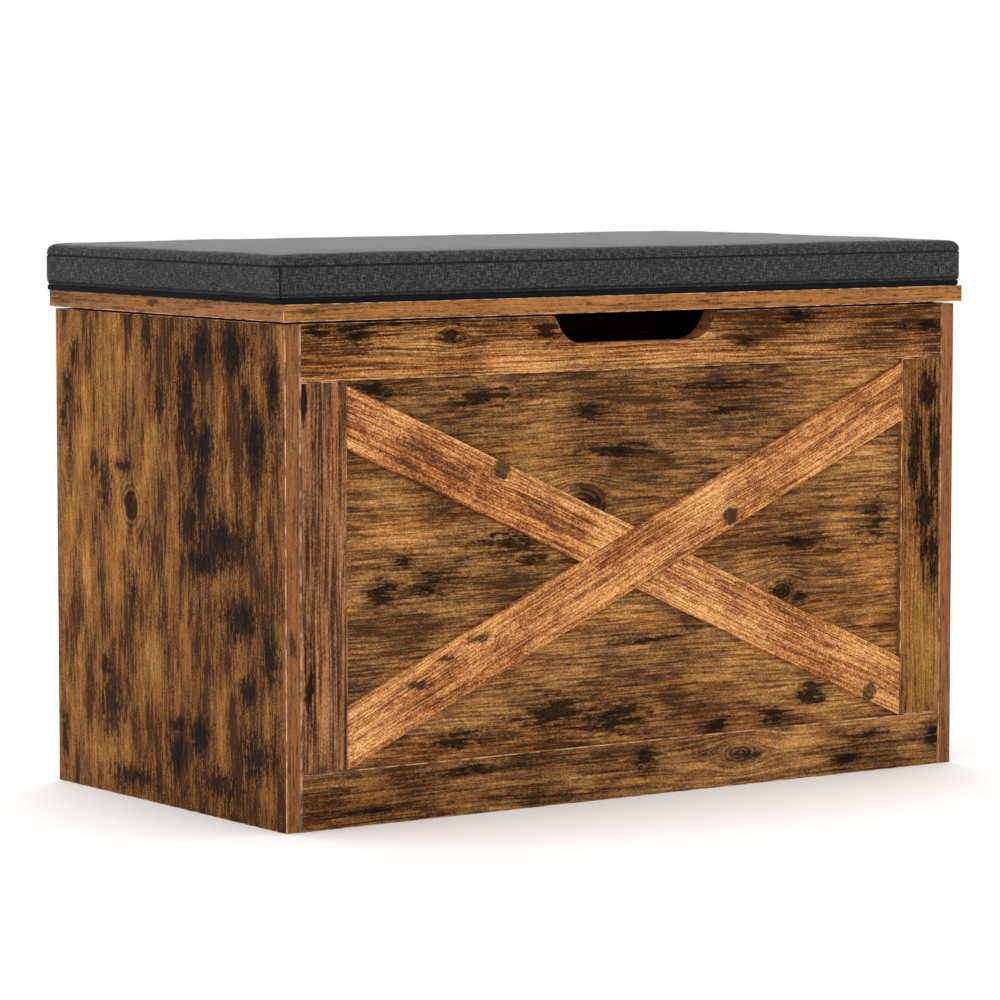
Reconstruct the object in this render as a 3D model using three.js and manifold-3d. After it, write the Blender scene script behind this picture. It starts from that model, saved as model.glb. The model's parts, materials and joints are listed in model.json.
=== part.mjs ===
// Storage bench: a flip-top chest of laminated boards with a barn-style front and a seat cushion on its lid.
//
// Millimetres, +Z up. X runs along the bench, and +Y points from the front to the back.
// The origin is on the floor, under the middle of the whole bench.
//
// The chest is two side panels with a front and a back panel between them, pulled together by cam fittings.
// The bottom board lies on two cleats. A frame of thin trim and a cross of braces are laid on the front panel.
// The lid turns on two butt hinges behind the back panel, and two lid stays guide it and hold it open.
// Each stay is a parallelogram: hinge pin, lid bracket, elbow and stay axle are its four corners.
//
// Inside the assembly group, y = 0 is the plane of the side panels' front edges and z = 0 is the floor.

import * as THREE from "three";
import { mergeVertices } from "three/addons/utils/BufferGeometryUtils.js";
import Module from "manifold-3d";

const wasm = await Module();
wasm.setup();

// ---------------------------------------------------------------- driving dimensions

const LID_WIDTH = 760;
const LID_DEPTH = 400;
const CARCASS_HEIGHT = 438;
const BOARD = 15; // thickness of every structural board
const LID_GAP = 2; // between the carcass and the lid, filled by hinge leaves and bumpers
const SIDE_OVERHANG = 5;
const FRONT_OVERHANG = 6;
const REAR_OVERHANG = 2;

const TRIM_THICKNESS = 5;
const RAIL_WIDTH = 50;
const STILE_WIDTH = 48;
const BRACE_WIDTH = 50;
const BRACE_DROP = 4; // from the top rail down to the braces' upper tips
const TRIM_GAP = 0.4; // joint left round every piece of trim

const SLOT_WIDTH = 183; // finger slot, measured along its open top edge
const SLOT_DEPTH = 25.5;
const SLOT_FLANK_ANGLE = 60; // degrees from the horizontal
const SLOT_FILLET = 28;

const BOTTOM_HEIGHT = 30; // floor to the underside of the bottom board
const CLEAT = 20; // square section of the cleats
const FIT = 0.3; // clearance round a piece that sits in a cut or between two boards

const CUSHION_INSET = 0; // from the lid's edges to the cushion, which is as large as the lid
const CUSHION_THICKNESS = 38;
const CUSHION_CORNER = 9;
const CLOTH = 1.2;
const STRIP_WIDTH = 40; // hook-and-loop strips
const STRIP_LENGTH = 300;
const STRIP_THICKNESS = 0.8;
const STRIP_FROM_END = 60; // lid end to the middle of a strip

const CAM_RADIUS = 7.2;
const CAM_WALL = 3; // board left behind a cam
const CAM_FROM_EDGE = 34; // board's end to the middle of a cam
const CAM_FROM_FLOOR = 85;
const CAM_FROM_TOP = 53;
const CAM_REACH = 5; // from the middle of a cam to the tip of its bolt's neck
const BOLT_BORE = 4; // radius of the bore in a board's end
const THREAD_RADIUS = 2.5;
const THREAD_LENGTH = 11;
const CAM_CROSS = { length: 9, width: 1.6, depth: 1.5 }; // for the screwdriver
const BOLT_COLLAR = { radius: 3.6, start: 0.1, thickness: 1.6 }; // stops on the side panel
const BOLT_SHANK_RADIUS = 2.9;
const BOLT_NECK = { radius: 1.8, length: 4 };
const BOLT_HEAD = { radius: 3.2, length: 3 };

const HINGE_LENGTH = 60;
const HINGE_FROM_END = 130; // lid end to the middle of a hinge
const LEAF_THICKNESS = 1.5;
const LEAF_LENGTH = 32;
const KNUCKLE_RADIUS = 3;
const HINGE_PIN_RADIUS = 1.5;
const KNUCKLES = 5;
const LEAF_SCREWS = 3;
const SCREW_HOLE = 2.2;
const SINK_RADIUS = 4;
const SINK_DEPTH = 1;
const BODY_HOLES_FROM_PIN = 19.2;
const LID_HOLES_FROM_PIN = 22.4;
const PIN_HEAD = { radius: 2.3, thickness: 1 };

const STAY_ARM_REACH = [-170, -17]; // y and z from the hinge pin to the lid bracket's pin
const STAY_AXLE_OFFSET = [-60, -60]; // y and z from the hinge pin to the stay's axle
const HOUSING_WIDTH = 36;
const HOUSING_HEIGHT = 62;
const HOUSING_THICKNESS = 12;
const AXLE_RADIUS = 6;
const ARM_WIDTH = 18;
const ARM_THICKNESS = 3;
const LINK_WIDTH = 14;
const LINK_THICKNESS = 2.5;
const PIN_RADIUS = 3;
const PIN_CLEARANCE = 0.3;
const LAYER_GAP = 0.5; // between the stay's flat parts, side by side
const BRACKET_THICKNESS = 2;
const BRACKET_LENGTH = 44;
const BRACKET_FLANGE = 18;
const RIVET_HEAD = { radius: 4.8, thickness: 1.2 };

const BUMPER_RADIUS = 5;
const BUMPER_FROM_FRONT = 30;
const SEGMENTS = { wide: 20, pin: 16, hole: 12, bore: 10, bolt: 8, corner: 3 };
const OVERRUN = 1; // carries a cut past the face that it starts from, or a join into its body
const WELD = 1e-4; // points closer than this are one point

// ---------------------------------------------------------------- places worked out from them

const carcassWidth = LID_WIDTH - 2 * SIDE_OVERHANG;
const carcassDepth = LID_DEPTH - FRONT_OVERHANG - REAR_OVERHANG;
const innerHalf = carcassWidth / 2 - BOARD;
const lidBottom = CARCASS_HEIGHT + LID_GAP;
const lidTop = lidBottom + BOARD;
const trimHalf = innerHalf - TRIM_GAP;
const fieldHalf = innerHalf - STILE_WIDTH; // half the width between the stiles
const fieldTop = CARCASS_HEIGHT - RAIL_WIDTH;
const fieldBottom = RAIL_WIDTH;
const frontInner = TRIM_THICKNESS + BOARD;
const backInner = carcassDepth - BOARD;
const slotBottom = CARCASS_HEIGHT - SLOT_DEPTH;
const camLength = BOARD - CAM_WALL;
const hingePin = { y: carcassDepth + KNUCKLE_RADIUS + FIT, z: lidBottom - KNUCKLE_RADIUS - FIT };
const hingeRear = hingePin.y + KNUCKLE_RADIUS;
const cushionBottom = lidTop + 2 * STRIP_THICKNESS;

// ---------------------------------------------------------------- materials

const material = (color, roughness, metalness = 0) =>
  new THREE.MeshStandardMaterial({ color, roughness, metalness });
const rusticBoard = material(0x7a4f27, 0.6);
const braceBoard = material(0xa86f3c, 0.62);
const plainTimber = material(0xb08a5c, 0.75);
const seatFabric = material(0x3a3b3d, 0.95);
const baseCloth = material(0x18181a, 0.95);
const foam = material(0xd9d4c4, 0.9);
const hookTape = material(0x101012, 0.9);
const steel = material(0xa9a9a6, 0.35, 1);
const castZinc = material(0x9c9c98, 0.45, 1);
const blackPlastic = material(0x1c1c1e, 0.5);
const rubber = material(0x2a2a2a, 0.85);

// ---------------------------------------------------------------- shapes, joins and cuts

// A named mesh at a place in its group.
function place(name, geometry, finish, x = 0, y = 0, z = 0) {
  const mesh = new THREE.Mesh(geometry, finish);
  mesh.name = name;
  mesh.position.set(x, y, z);
  return mesh;
}

// A box between two values on each axis, as a mesh at its own centre.
function block(name, finish, [x0, x1], [y0, y1], [z0, z1]) {
  const geometry = new THREE.BoxGeometry(x1 - x0, y1 - y0, z1 - z0);
  return place(name, geometry, finish, (x0 + x1) / 2, (y0 + y1) / 2, (z0 + z1) / 2);
}

// A cylinder's geometry, with its axis along x, y or z.
function rod(radius, length, axis, segments = SEGMENTS.wide) {
  const geometry = new THREE.CylinderGeometry(radius, radius, length, segments);
  if (axis === "x") geometry.rotateZ(-Math.PI / 2);
  if (axis === "z") geometry.rotateX(Math.PI / 2);
  return geometry;
}

// A turned shape from [radius, distance] points. It starts and ends on its axis, which lies along +x.
function turned(points, segments = SEGMENTS.wide) {
  const profile = points.map(([radius, along]) => new THREE.Vector2(radius, along));
  return new THREE.LatheGeometry(profile, segments).rotateZ(-Math.PI / 2);
}

// An outline drawn in x and z, made into a plate whose front face is at y = 0.
function plateXZ(shape, thickness, curveSegments = 6) {
  const options = { depth: thickness, bevelEnabled: false, curveSegments };
  return new THREE.ExtrudeGeometry(shape, options).rotateX(Math.PI / 2).translate(0, thickness, 0);
}

// An outline drawn in y and z, made into a plate from x = 0 to x = thickness.
function plateYZ(shape, thickness, curveSegments = 8) {
  const options = { depth: thickness, bevelEnabled: false, curveSegments };
  const turn = new THREE.Matrix4().makeBasis(
    new THREE.Vector3(0, 1, 0), new THREE.Vector3(0, 0, 1), new THREE.Vector3(1, 0, 0));
  return new THREE.ExtrudeGeometry(shape, options).applyMatrix4(turn);
}

// A closed mesh as a solid, in the frame that the matrix gives.
function solidOf(mesh, frame = new THREE.Matrix4()) {
  mesh.updateMatrix();
  const bare = mesh.geometry.clone();
  bare.deleteAttribute("normal");
  bare.deleteAttribute("uv");
  bare.applyMatrix4(frame.clone().multiply(mesh.matrix));
  const merged = mergeVertices(bare, WELD);
  return new wasm.Manifold(new wasm.Mesh({
    numProp: 3,
    vertProperties: merged.attributes.position.array,
    triVerts: new Uint32Array(merged.index.array),
  }));
}

// The mesh with others joined to it or cut from it. They share its group, and the result keeps its place.
function shaped(mesh, { add = [], cut = [] }) {
  mesh.updateMatrix();
  const frame = mesh.matrix.clone().invert();
  let solid = solidOf(mesh, frame);
  for (const other of add) solid = solid.add(solidOf(other, frame));
  for (const other of cut) solid = solid.subtract(solidOf(other, frame));
  const made = solid.getMesh();
  const geometry = new THREE.BufferGeometry();
  geometry.setAttribute("position", new THREE.BufferAttribute(made.vertProperties.slice(), 3));
  geometry.setIndex(new THREE.BufferAttribute(made.triVerts.slice(), 1));
  mesh.geometry = geometry;
  return mesh;
}

// ---------------------------------------------------------------- cam fittings

const camPlaces = [];
for (const [side, sign] of [["left", -1], ["right", 1]])
  for (const [level, z] of [["low", CAM_FROM_FLOOR], ["high", CARCASS_HEIGHT - CAM_FROM_TOP]])
    for (const [board, inner, outward] of [["front", frontInner, -1], ["back", backInner, 1]])
      camPlaces.push({ side, sign, level, board, z, inner, outward, name: `${board}_${side}_${level}` });

// The bolts run along the middle of the board's thickness.
const boltLine = ({ inner, outward }) => inner + (outward * BOARD) / 2;

// The cuts that one fitting needs in the front or back panel: the cam's pocket and the bolt's bore.
function camCuts(fitting) {
  const { sign, z, inner, outward } = fitting;
  const camX = sign * (innerHalf - CAM_FROM_EDGE);
  const pocketDepth = camLength + FIT;
  const pocket = rod(CAM_RADIUS + FIT, 2 * pocketDepth, "y");
  const bore = rod(BOLT_BORE, 2 * CAM_FROM_EDGE, "x", SEGMENTS.bore);
  return [
    place("", pocket, null, camX, inner, z),
    place("", bore, null, sign * innerHalf, boltLine(fitting), z),
  ];
}

// The pilot hole that one fitting needs in a side panel's inner face.
function pilotHole(fitting) {
  const depth = THREAD_LENGTH + FIT;
  const geometry = rod(THREAD_RADIUS + FIT, 2 * depth, "x", SEGMENTS.bore);
  return place("", geometry, null, fitting.sign * innerHalf, boltLine(fitting), fitting.z);
}

// The disc that turns to pull the bolt tight, with a cross for the screwdriver and a mouth for the bolt.
function cam(fitting) {
  const { sign, z, inner, outward, name } = fitting;
  const x = sign * (innerHalf - CAM_FROM_EDGE);
  const disc = place(`cam_${name}`, rod(CAM_RADIUS, camLength, "y", SEGMENTS.pin), castZinc,
    x, inner + (outward * camLength) / 2, z);
  const mouthLength = CAM_RADIUS + CAM_REACH + OVERRUN;
  const mouth = place("", rod(BOLT_BORE, mouthLength, "x", SEGMENTS.bore), null,
    x + sign * (mouthLength / 2 - CAM_REACH), boltLine(fitting), z);
  const { length, width, depth } = CAM_CROSS;
  const slots = [[length, width], [width, length]].map(([wide, high]) =>
    place("", new THREE.BoxGeometry(wide, 2 * depth, high), null, x, inner, z));
  return shaped(disc, { cut: [mouth, ...slots] });
}

// The bolt: screwed into the side panel, with its head inside the cam.
function camBolt(fitting) {
  const neck = CAM_FROM_EDGE - CAM_REACH;
  const head = neck + BOLT_NECK.length;
  const tip = head + BOLT_HEAD.length;
  const geometry = turned([
    [0, -THREAD_LENGTH], [THREAD_RADIUS, -THREAD_LENGTH], [THREAD_RADIUS, 0],
    [BOLT_COLLAR.radius, BOLT_COLLAR.start], [BOLT_COLLAR.radius, BOLT_COLLAR.thickness],
    [BOLT_SHANK_RADIUS, BOLT_COLLAR.thickness], [BOLT_SHANK_RADIUS, neck],
    [BOLT_NECK.radius, neck], [BOLT_NECK.radius, head],
    [BOLT_HEAD.radius, head], [BOLT_HEAD.radius, tip], [0, tip],
  ], SEGMENTS.bolt);
  const bolt = place(`cam_bolt_${fitting.name}`, geometry, steel,
    fitting.sign * innerHalf, boltLine(fitting), fitting.z);
  if (fitting.sign > 0) bolt.rotation.z = Math.PI;
  return bolt;
}

// ---------------------------------------------------------------- carcass

// The finger slot: open at the top, with sloping flanks that run into a flat bottom through fillets.
function fingerSlot(thickness, y) {
  const slope = THREE.MathUtils.degToRad(SLOT_FLANK_ANGLE);
  const topHalf = SLOT_WIDTH / 2 + OVERRUN / Math.tan(slope);
  const footHalf = SLOT_WIDTH / 2 - SLOT_DEPTH / Math.tan(slope);
  const flat = footHalf - SLOT_FILLET * Math.tan(slope / 2);
  const centreZ = slotBottom + SLOT_FILLET;
  const shape = new THREE.Shape();
  shape.moveTo(topHalf, CARCASS_HEIGHT + OVERRUN);
  shape.lineTo(-topHalf, CARCASS_HEIGHT + OVERRUN);
  shape.absarc(-flat, centreZ, SLOT_FILLET, -Math.PI / 2 - slope, -Math.PI / 2, false);
  shape.absarc(flat, centreZ, SLOT_FILLET, -Math.PI / 2, -Math.PI / 2 + slope, false);
  shape.closePath();
  return place("", plateXZ(shape, thickness + 2 * OVERRUN), null, 0, y - OVERRUN, 0);
}

function sidePanel(side, sign) {
  const xs = [sign * innerHalf, sign * (innerHalf + BOARD)].sort((a, b) => a - b);
  const panel = block(`${side}_side_panel`, rusticBoard, xs, [0, carcassDepth], [0, CARCASS_HEIGHT]);
  return shaped(panel, { cut: camPlaces.filter((c) => c.sign === sign).map(pilotHole) });
}

function frontPanel() {
  const panel = block("front_panel", rusticBoard, [-innerHalf, innerHalf],
    [TRIM_THICKNESS, frontInner], [0, CARCASS_HEIGHT]);
  const cams = camPlaces.filter((c) => c.board === "front").flatMap(camCuts);
  return shaped(panel, { cut: [fingerSlot(BOARD, TRIM_THICKNESS), ...cams] });
}

function backPanel() {
  const panel = block("back_panel", rusticBoard, [-innerHalf, innerHalf],
    [backInner, carcassDepth], [0, CARCASS_HEIGHT]);
  return shaped(panel, { cut: camPlaces.filter((c) => c.board === "back").flatMap(camCuts) });
}

function bottom() {
  const half = innerHalf - FIT;
  const heights = [BOTTOM_HEIGHT - CLEAT, BOTTOM_HEIGHT];
  return [
    block("bottom_panel", rusticBoard, [-half, half], [frontInner + FIT, backInner - FIT],
      [BOTTOM_HEIGHT, BOTTOM_HEIGHT + BOARD]),
    block("front_cleat", plainTimber, [-half, half], [frontInner, frontInner + CLEAT], heights),
    block("back_cleat", plainTimber, [-half, half], [backInner - CLEAT, backInner], heights),
  ];
}

// ---------------------------------------------------------------- trim on the front

function trimFrame() {
  const depth = [0, TRIM_THICKNESS];
  const topRail = block("top_rail", rusticBoard, [-trimHalf, trimHalf], depth, [fieldTop, CARCASS_HEIGHT]);
  const parts = [
    shaped(topRail, { cut: [fingerSlot(TRIM_THICKNESS, 0)] }),
    block("bottom_rail", rusticBoard, [-trimHalf, trimHalf], depth, [0, fieldBottom]),
  ];
  for (const [side, sign] of [["left", -1], ["right", 1]]) {
    const xs = [sign * fieldHalf, sign * trimHalf].sort((a, b) => a - b);
    const heights = [fieldBottom + TRIM_GAP, fieldTop - TRIM_GAP];
    parts.push(block(`${side}_stile`, rusticBoard, xs, depth, heights));
  }
  return parts;
}

// The braces' centre lines cross in the middle. Each end is cut upright, along its stile, and its tips
// stand just above the bottom rail and BRACE_DROP below the top rail.
const braceHalf = fieldHalf - TRIM_GAP;
const braceFoot = fieldBottom + TRIM_GAP;
const braceHead = fieldTop - BRACE_DROP;
const braceEnd = uprightEnd();
const braceMiddle = (braceFoot + braceHead) / 2;
const braceRise = (braceHead - braceFoot - braceEnd) / 2; // from the middle to the centre of an end

// How tall a brace's upright end is: its width over the cosine of its slope, which depends on it in turn.
function uprightEnd() {
  const rounds = 30; // far more than it takes to settle
  let end = BRACE_WIDTH;
  for (let round = 0; round < rounds; round += 1)
    end = BRACE_WIDTH * Math.hypot(1, (braceHead - braceFoot - end) / (2 * braceHalf));
  return end;
}

// A stretch of brace from x0 to x1, rising with the given sign.
function braceShape(sign, x0, x1) {
  const line = (x) => braceMiddle + (sign * braceRise * x) / braceHalf;
  const shape = new THREE.Shape();
  shape.moveTo(x0, line(x0) - braceEnd / 2);
  shape.lineTo(x1, line(x1) - braceEnd / 2);
  shape.lineTo(x1, line(x1) + braceEnd / 2);
  shape.lineTo(x0, line(x0) + braceEnd / 2);
  shape.closePath();
  return shape;
}

function braces() {
  const full = () => braceShape(1, -braceHalf, braceHalf);
  const long = place("long_brace", plateXZ(full(), TRIM_THICKNESS), braceBoard);
  const slope = Math.atan2(braceRise, braceHalf);
  // The short braces stop at the long one, so a wider copy of it is cut from them.
  const wide = plateXZ(braceShape(1, -2 * braceHalf, 2 * braceHalf), 3 * TRIM_THICKNESS);
  const shift = TRIM_GAP / Math.cos(slope);
  const cutter = (dz) => place("", wide, null, 0, -TRIM_THICKNESS, dz);
  const short = (name, x0, x1) => {
    const plate = place(name, plateXZ(braceShape(-1, x0, x1), TRIM_THICKNESS), braceBoard);
    return shaped(plate, { cut: [cutter(0), cutter(shift), cutter(-shift)] });
  };
  return [
    long,
    short("upper_short_brace", -braceHalf, 0),
    short("lower_short_brace", 0, braceHalf),
  ];
}

// ---------------------------------------------------------------- lid and cushion

function lidBoard() {
  return block("lid_board", rusticBoard, [-LID_WIDTH / 2, LID_WIDTH / 2],
    [-FRONT_OVERHANG, LID_DEPTH - FRONT_OVERHANG], [lidBottom, lidTop]);
}

// A plan outline with round corners, set in from the cushion's outer edge.
function cushionPlan(inset) {
  const halfX = LID_WIDTH / 2 - CUSHION_INSET - inset;
  const halfY = LID_DEPTH / 2 - CUSHION_INSET - inset;
  const radius = CUSHION_CORNER - inset;
  const shape = new THREE.Shape();
  shape.absarc(halfX - radius, halfY - radius, radius, 0, Math.PI / 2, false);
  shape.absarc(-halfX + radius, halfY - radius, radius, Math.PI / 2, Math.PI, false);
  shape.absarc(-halfX + radius, -halfY + radius, radius, Math.PI, 1.5 * Math.PI, false);
  shape.absarc(halfX - radius, -halfY + radius, radius, 1.5 * Math.PI, 2 * Math.PI, false);
  shape.closePath();
  return shape;
}

function cushionSlab(name, finish, inset, z0, z1) {
  const options = { depth: z1 - z0, bevelEnabled: false, curveSegments: SEGMENTS.corner };
  const geometry = new THREE.ExtrudeGeometry(cushionPlan(inset), options);
  return place(name, geometry, finish, 0, LID_DEPTH / 2 - FRONT_OVERHANG, z0);
}

function cushion() {
  const top = cushionBottom + CUSHION_THICKNESS;
  const hollow = cushionSlab("", null, CLOTH, cushionBottom - OVERRUN, top - CLOTH);
  const cover = cushionSlab("cushion_cover", seatFabric, 0, cushionBottom, top);
  const baseTop = cushionBottom + CLOTH;
  const inside = CLOTH + FIT;
  return [
    shaped(cover, { cut: [hollow] }),
    cushionSlab("cushion_base_cloth", baseCloth, inside, cushionBottom, baseTop),
    cushionSlab("cushion_foam", foam, inside, baseTop + FIT, top - inside),
  ];
}

function fasteningStrips() {
  const parts = [];
  const middleY = LID_DEPTH / 2 - FRONT_OVERHANG;
  const ys = [middleY - STRIP_LENGTH / 2, middleY + STRIP_LENGTH / 2];
  for (const [side, sign] of [["left", -1], ["right", 1]]) {
    const x = sign * (LID_WIDTH / 2 - STRIP_FROM_END);
    const xs = [x - STRIP_WIDTH / 2, x + STRIP_WIDTH / 2];
    parts.push(block(`${side}_hook_strip`, hookTape, xs, ys, [lidTop, lidTop + STRIP_THICKNESS]));
    parts.push(block(`${side}_loop_strip`, hookTape, xs, ys, [lidTop + STRIP_THICKNESS, cushionBottom]));
  }
  return parts;
}

// ---------------------------------------------------------------- hinges

// A row of countersunk screw holes through a leaf. The turn points the holes from its open face inwards.
function leafHoles(x, y, z, turn) {
  const holes = [];
  for (let i = 0; i < LEAF_SCREWS; i += 1) {
    const along = ((i - (LEAF_SCREWS - 1) / 2) * HINGE_LENGTH) / LEAF_SCREWS;
    const hole = place("", turned([
      [0, -OVERRUN], [SINK_RADIUS, -OVERRUN], [SINK_RADIUS, 0], [SCREW_HOLE, SINK_DEPTH],
      [SCREW_HOLE, LEAF_THICKNESS + OVERRUN], [0, LEAF_THICKNESS + OVERRUN],
    ], SEGMENTS.hole), null, x + along, y, z);
    hole.rotation.copy(turn);
    holes.push(hole);
  }
  return holes;
}

// One leaf's knuckles, or with a clearance the room that they need in the other leaf.
function knuckles(x, first, grow = 0) {
  const pitch = HINGE_LENGTH / KNUCKLES;
  const parts = [];
  for (let i = first; i < KNUCKLES; i += 2) {
    const barrel = rod(KNUCKLE_RADIUS + grow, pitch - FIT + 2 * grow, "x", SEGMENTS.pin);
    const at = x - HINGE_LENGTH / 2 + (i + 0.5) * pitch;
    parts.push(place("", barrel, null, at, hingePin.y, hingePin.z));
  }
  return parts;
}

function hinge(side, sign) {
  const x = sign * (LID_WIDTH / 2 - HINGE_FROM_END);
  const xs = [x - HINGE_LENGTH / 2, x + HINGE_LENGTH / 2];
  const bore = rod(HINGE_PIN_RADIUS + FIT / 2, 2 * HINGE_LENGTH, "x", SEGMENTS.pin);
  const pinBore = place("", bore, null, x, hingePin.y, hingePin.z);

  // The body leaf stands behind the back panel, and its holes run forwards.
  const bodyFace = carcassDepth + LEAF_THICKNESS;
  const bodyLeaf = block(`${side}_hinge_body_leaf`, steel, xs,
    [carcassDepth, bodyFace], [hingePin.z - LEAF_LENGTH, hingePin.z]);
  const bodyHoles = leafHoles(x, bodyFace, hingePin.z - BODY_HOLES_FROM_PIN,
    new THREE.Euler(0, 0, -Math.PI / 2));
  shaped(bodyLeaf, { add: knuckles(x, 0) });
  shaped(bodyLeaf, { cut: [...knuckles(x, 1, FIT), pinBore, ...bodyHoles] });

  // The lid leaf lies under the lid, and its holes run upwards.
  const lidFace = lidBottom - LEAF_THICKNESS;
  const lidLeaf = block(`${side}_hinge_lid_leaf`, steel, xs,
    [hingePin.y - LEAF_LENGTH, hingePin.y], [lidFace, lidBottom]);
  const lidHoles = leafHoles(x, hingePin.y - LID_HOLES_FROM_PIN, lidFace,
    new THREE.Euler(0, -Math.PI / 2, 0));
  shaped(lidLeaf, { add: knuckles(x, 1) });
  shaped(lidLeaf, { cut: [...knuckles(x, 0, FIT), pinBore, ...lidHoles] });

  const reach = HINGE_LENGTH / 2 + FIT;
  const tip = reach + PIN_HEAD.thickness;
  const pin = place(`${side}_hinge_pin`, turned([
    [0, -tip], [PIN_HEAD.radius, -tip], [PIN_HEAD.radius, -reach], [HINGE_PIN_RADIUS, -reach],
    [HINGE_PIN_RADIUS, reach], [PIN_HEAD.radius, reach], [PIN_HEAD.radius, tip], [0, tip],
  ], SEGMENTS.hole), steel, x, hingePin.y, hingePin.z);
  return [bodyLeaf, lidLeaf, pin];
}

// ---------------------------------------------------------------- lid stays

// A flat bar with round ends from the origin to a point in y and z, with a hole at each end.
function barShape([y, z], width, firstHole, lastHole) {
  const angle = Math.atan2(z, y);
  const radius = width / 2;
  const shape = new THREE.Shape();
  shape.absarc(0, 0, radius, angle + Math.PI / 2, angle + 1.5 * Math.PI, false);
  shape.absarc(y, z, radius, angle - Math.PI / 2, angle + Math.PI / 2, false);
  shape.closePath();
  shape.holes.push(new THREE.Path().absarc(0, 0, firstHole, 0, 2 * Math.PI, true));
  shape.holes.push(new THREE.Path().absarc(y, z, lastHole, 0, 2 * Math.PI, true));
  return shape;
}

// The housing's outline: an upright plate with round ends, about the axle.
function housingShape() {
  const radius = HOUSING_WIDTH / 2;
  const straight = HOUSING_HEIGHT / 2 - radius;
  const shape = new THREE.Shape();
  shape.absarc(0, straight, radius, 0, Math.PI, false);
  shape.absarc(0, -straight, radius, Math.PI, 2 * Math.PI, false);
  shape.closePath();
  return shape;
}

// The stay on one side panel, in layers: housing, arm, link. Each layer's place is a distance inwards
// from the panel's inner face, so both stays come from the same values.
function lidStay(side, sign) {
  const [armY, armZ] = STAY_ARM_REACH;
  const axle = { y: hingePin.y + STAY_AXLE_OFFSET[0], z: hingePin.z + STAY_AXLE_OFFSET[1] };
  const elbow = { y: axle.y + armY, z: axle.z + armZ };
  const lidPin = { y: hingePin.y + armY, z: hingePin.z + armZ };

  const armAt = HOUSING_THICKNESS + LAYER_GAP;
  const armEnd = armAt + ARM_THICKNESS;
  const linkAt = armEnd + LAYER_GAP;
  const linkEnd = linkAt + LINK_THICKNESS;
  const across = (near, far) =>
    sign > 0 ? [innerHalf - far, innerHalf - near] : [near - innerHalf, far - innerHalf];
  const pinBetween = (radius, near, far, { y, z }) =>
    place("", rod(radius, far - near, "x", SEGMENTS.pin), null, sign * (innerHalf - (near + far) / 2), y, z);

  const housing = place(`${side}_stay_housing`, plateYZ(housingShape(), HOUSING_THICKNESS), blackPlastic,
    across(0, HOUSING_THICKNESS)[0], axle.y, axle.z);
  shaped(housing, { add: [pinBetween(AXLE_RADIUS, OVERRUN, armEnd, axle)] });

  const armShape = barShape(STAY_ARM_REACH, ARM_WIDTH, AXLE_RADIUS + PIN_CLEARANCE, PIN_RADIUS + PIN_CLEARANCE);
  const arm = place(`${side}_stay_arm`, plateYZ(armShape, ARM_THICKNESS), steel,
    across(armAt, armEnd)[0], axle.y, axle.z);

  // The arm and the link are as far apart in y and z as the axle and the hinge pin: a parallelogram.
  const linkReach = [-STAY_AXLE_OFFSET[0], -STAY_AXLE_OFFSET[1]];
  const linkShape = barShape(linkReach, LINK_WIDTH, PIN_RADIUS + PIN_CLEARANCE, PIN_RADIUS + PIN_CLEARANCE);
  const link = place(`${side}_stay_link`, plateYZ(linkShape, LINK_THICKNESS), steel,
    across(linkAt, linkEnd)[0], elbow.y, elbow.z);

  const shankStart = armAt - FIT;
  const shankEnd = linkEnd + FIT;
  const { radius: headRadius, thickness: headThickness } = RIVET_HEAD;
  const rivet = place(`${side}_elbow_rivet`, turned([
    [0, shankStart - headThickness], [headRadius, shankStart - headThickness], [headRadius, shankStart],
    [PIN_RADIUS, shankStart], [PIN_RADIUS, shankEnd], [headRadius, shankEnd],
    [headRadius, shankEnd + headThickness], [0, shankEnd + headThickness],
  ], SEGMENTS.pin), steel, sign * innerHalf, elbow.y, elbow.z);
  if (sign > 0) rivet.rotation.z = Math.PI;

  // The bracket: a flange under the lid, a web down to the pin, and the pin with its head past the link.
  const webFar = linkAt - LAYER_GAP;
  const webNear = webFar - BRACKET_THICKNESS;
  const ys = [lidPin.y - BRACKET_LENGTH / 2, lidPin.y + BRACKET_LENGTH / 2];
  const flangeFoot = lidBottom - BRACKET_THICKNESS;
  const web = across(webNear, webFar);
  const lobe = BRACKET_LENGTH / 4;
  const bracket = block(`${side}_lid_bracket`, steel, web, ys, [lidPin.z, lidBottom]);
  // The web narrows from the flange to its lobe, so a slanting corner is cut away at each end.
  const corners = [-1, 1].map((end) => {
    const wedge = new THREE.Shape();
    wedge.moveTo(end * lobe, -OVERRUN);
    wedge.lineTo(end * BRACKET_LENGTH, -OVERRUN);
    wedge.lineTo(end * BRACKET_LENGTH, flangeFoot - lidPin.z);
    wedge.lineTo((end * BRACKET_LENGTH) / 2, flangeFoot - lidPin.z);
    wedge.closePath();
    return place("", plateYZ(wedge, BRACKET_THICKNESS + 2 * OVERRUN), null,
      web[0] - OVERRUN, lidPin.y, lidPin.z);
  });
  shaped(bracket, { cut: corners });
  const flange = block("", null, across(webNear, webNear + BRACKET_FLANGE), ys, [flangeFoot, lidBottom]);
  shaped(bracket, {
    add: [
      flange,
      pinBetween(lobe, webNear, webFar, lidPin),
      pinBetween(PIN_RADIUS, webNear, shankEnd + headThickness, lidPin),
      pinBetween(headRadius, shankEnd, shankEnd + headThickness, lidPin),
    ],
  });

  return [housing, arm, link, rivet, bracket];
}

// ---------------------------------------------------------------- bumpers

function bumper(side, sign) {
  const height = LID_GAP - FIT;
  return place(`${side}_bumper`, rod(BUMPER_RADIUS, height, "z"), rubber,
    sign * (innerHalf + BOARD / 2), BUMPER_FROM_FRONT, CARCASS_HEIGHT + height / 2);
}

// ---------------------------------------------------------------- assembly

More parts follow.
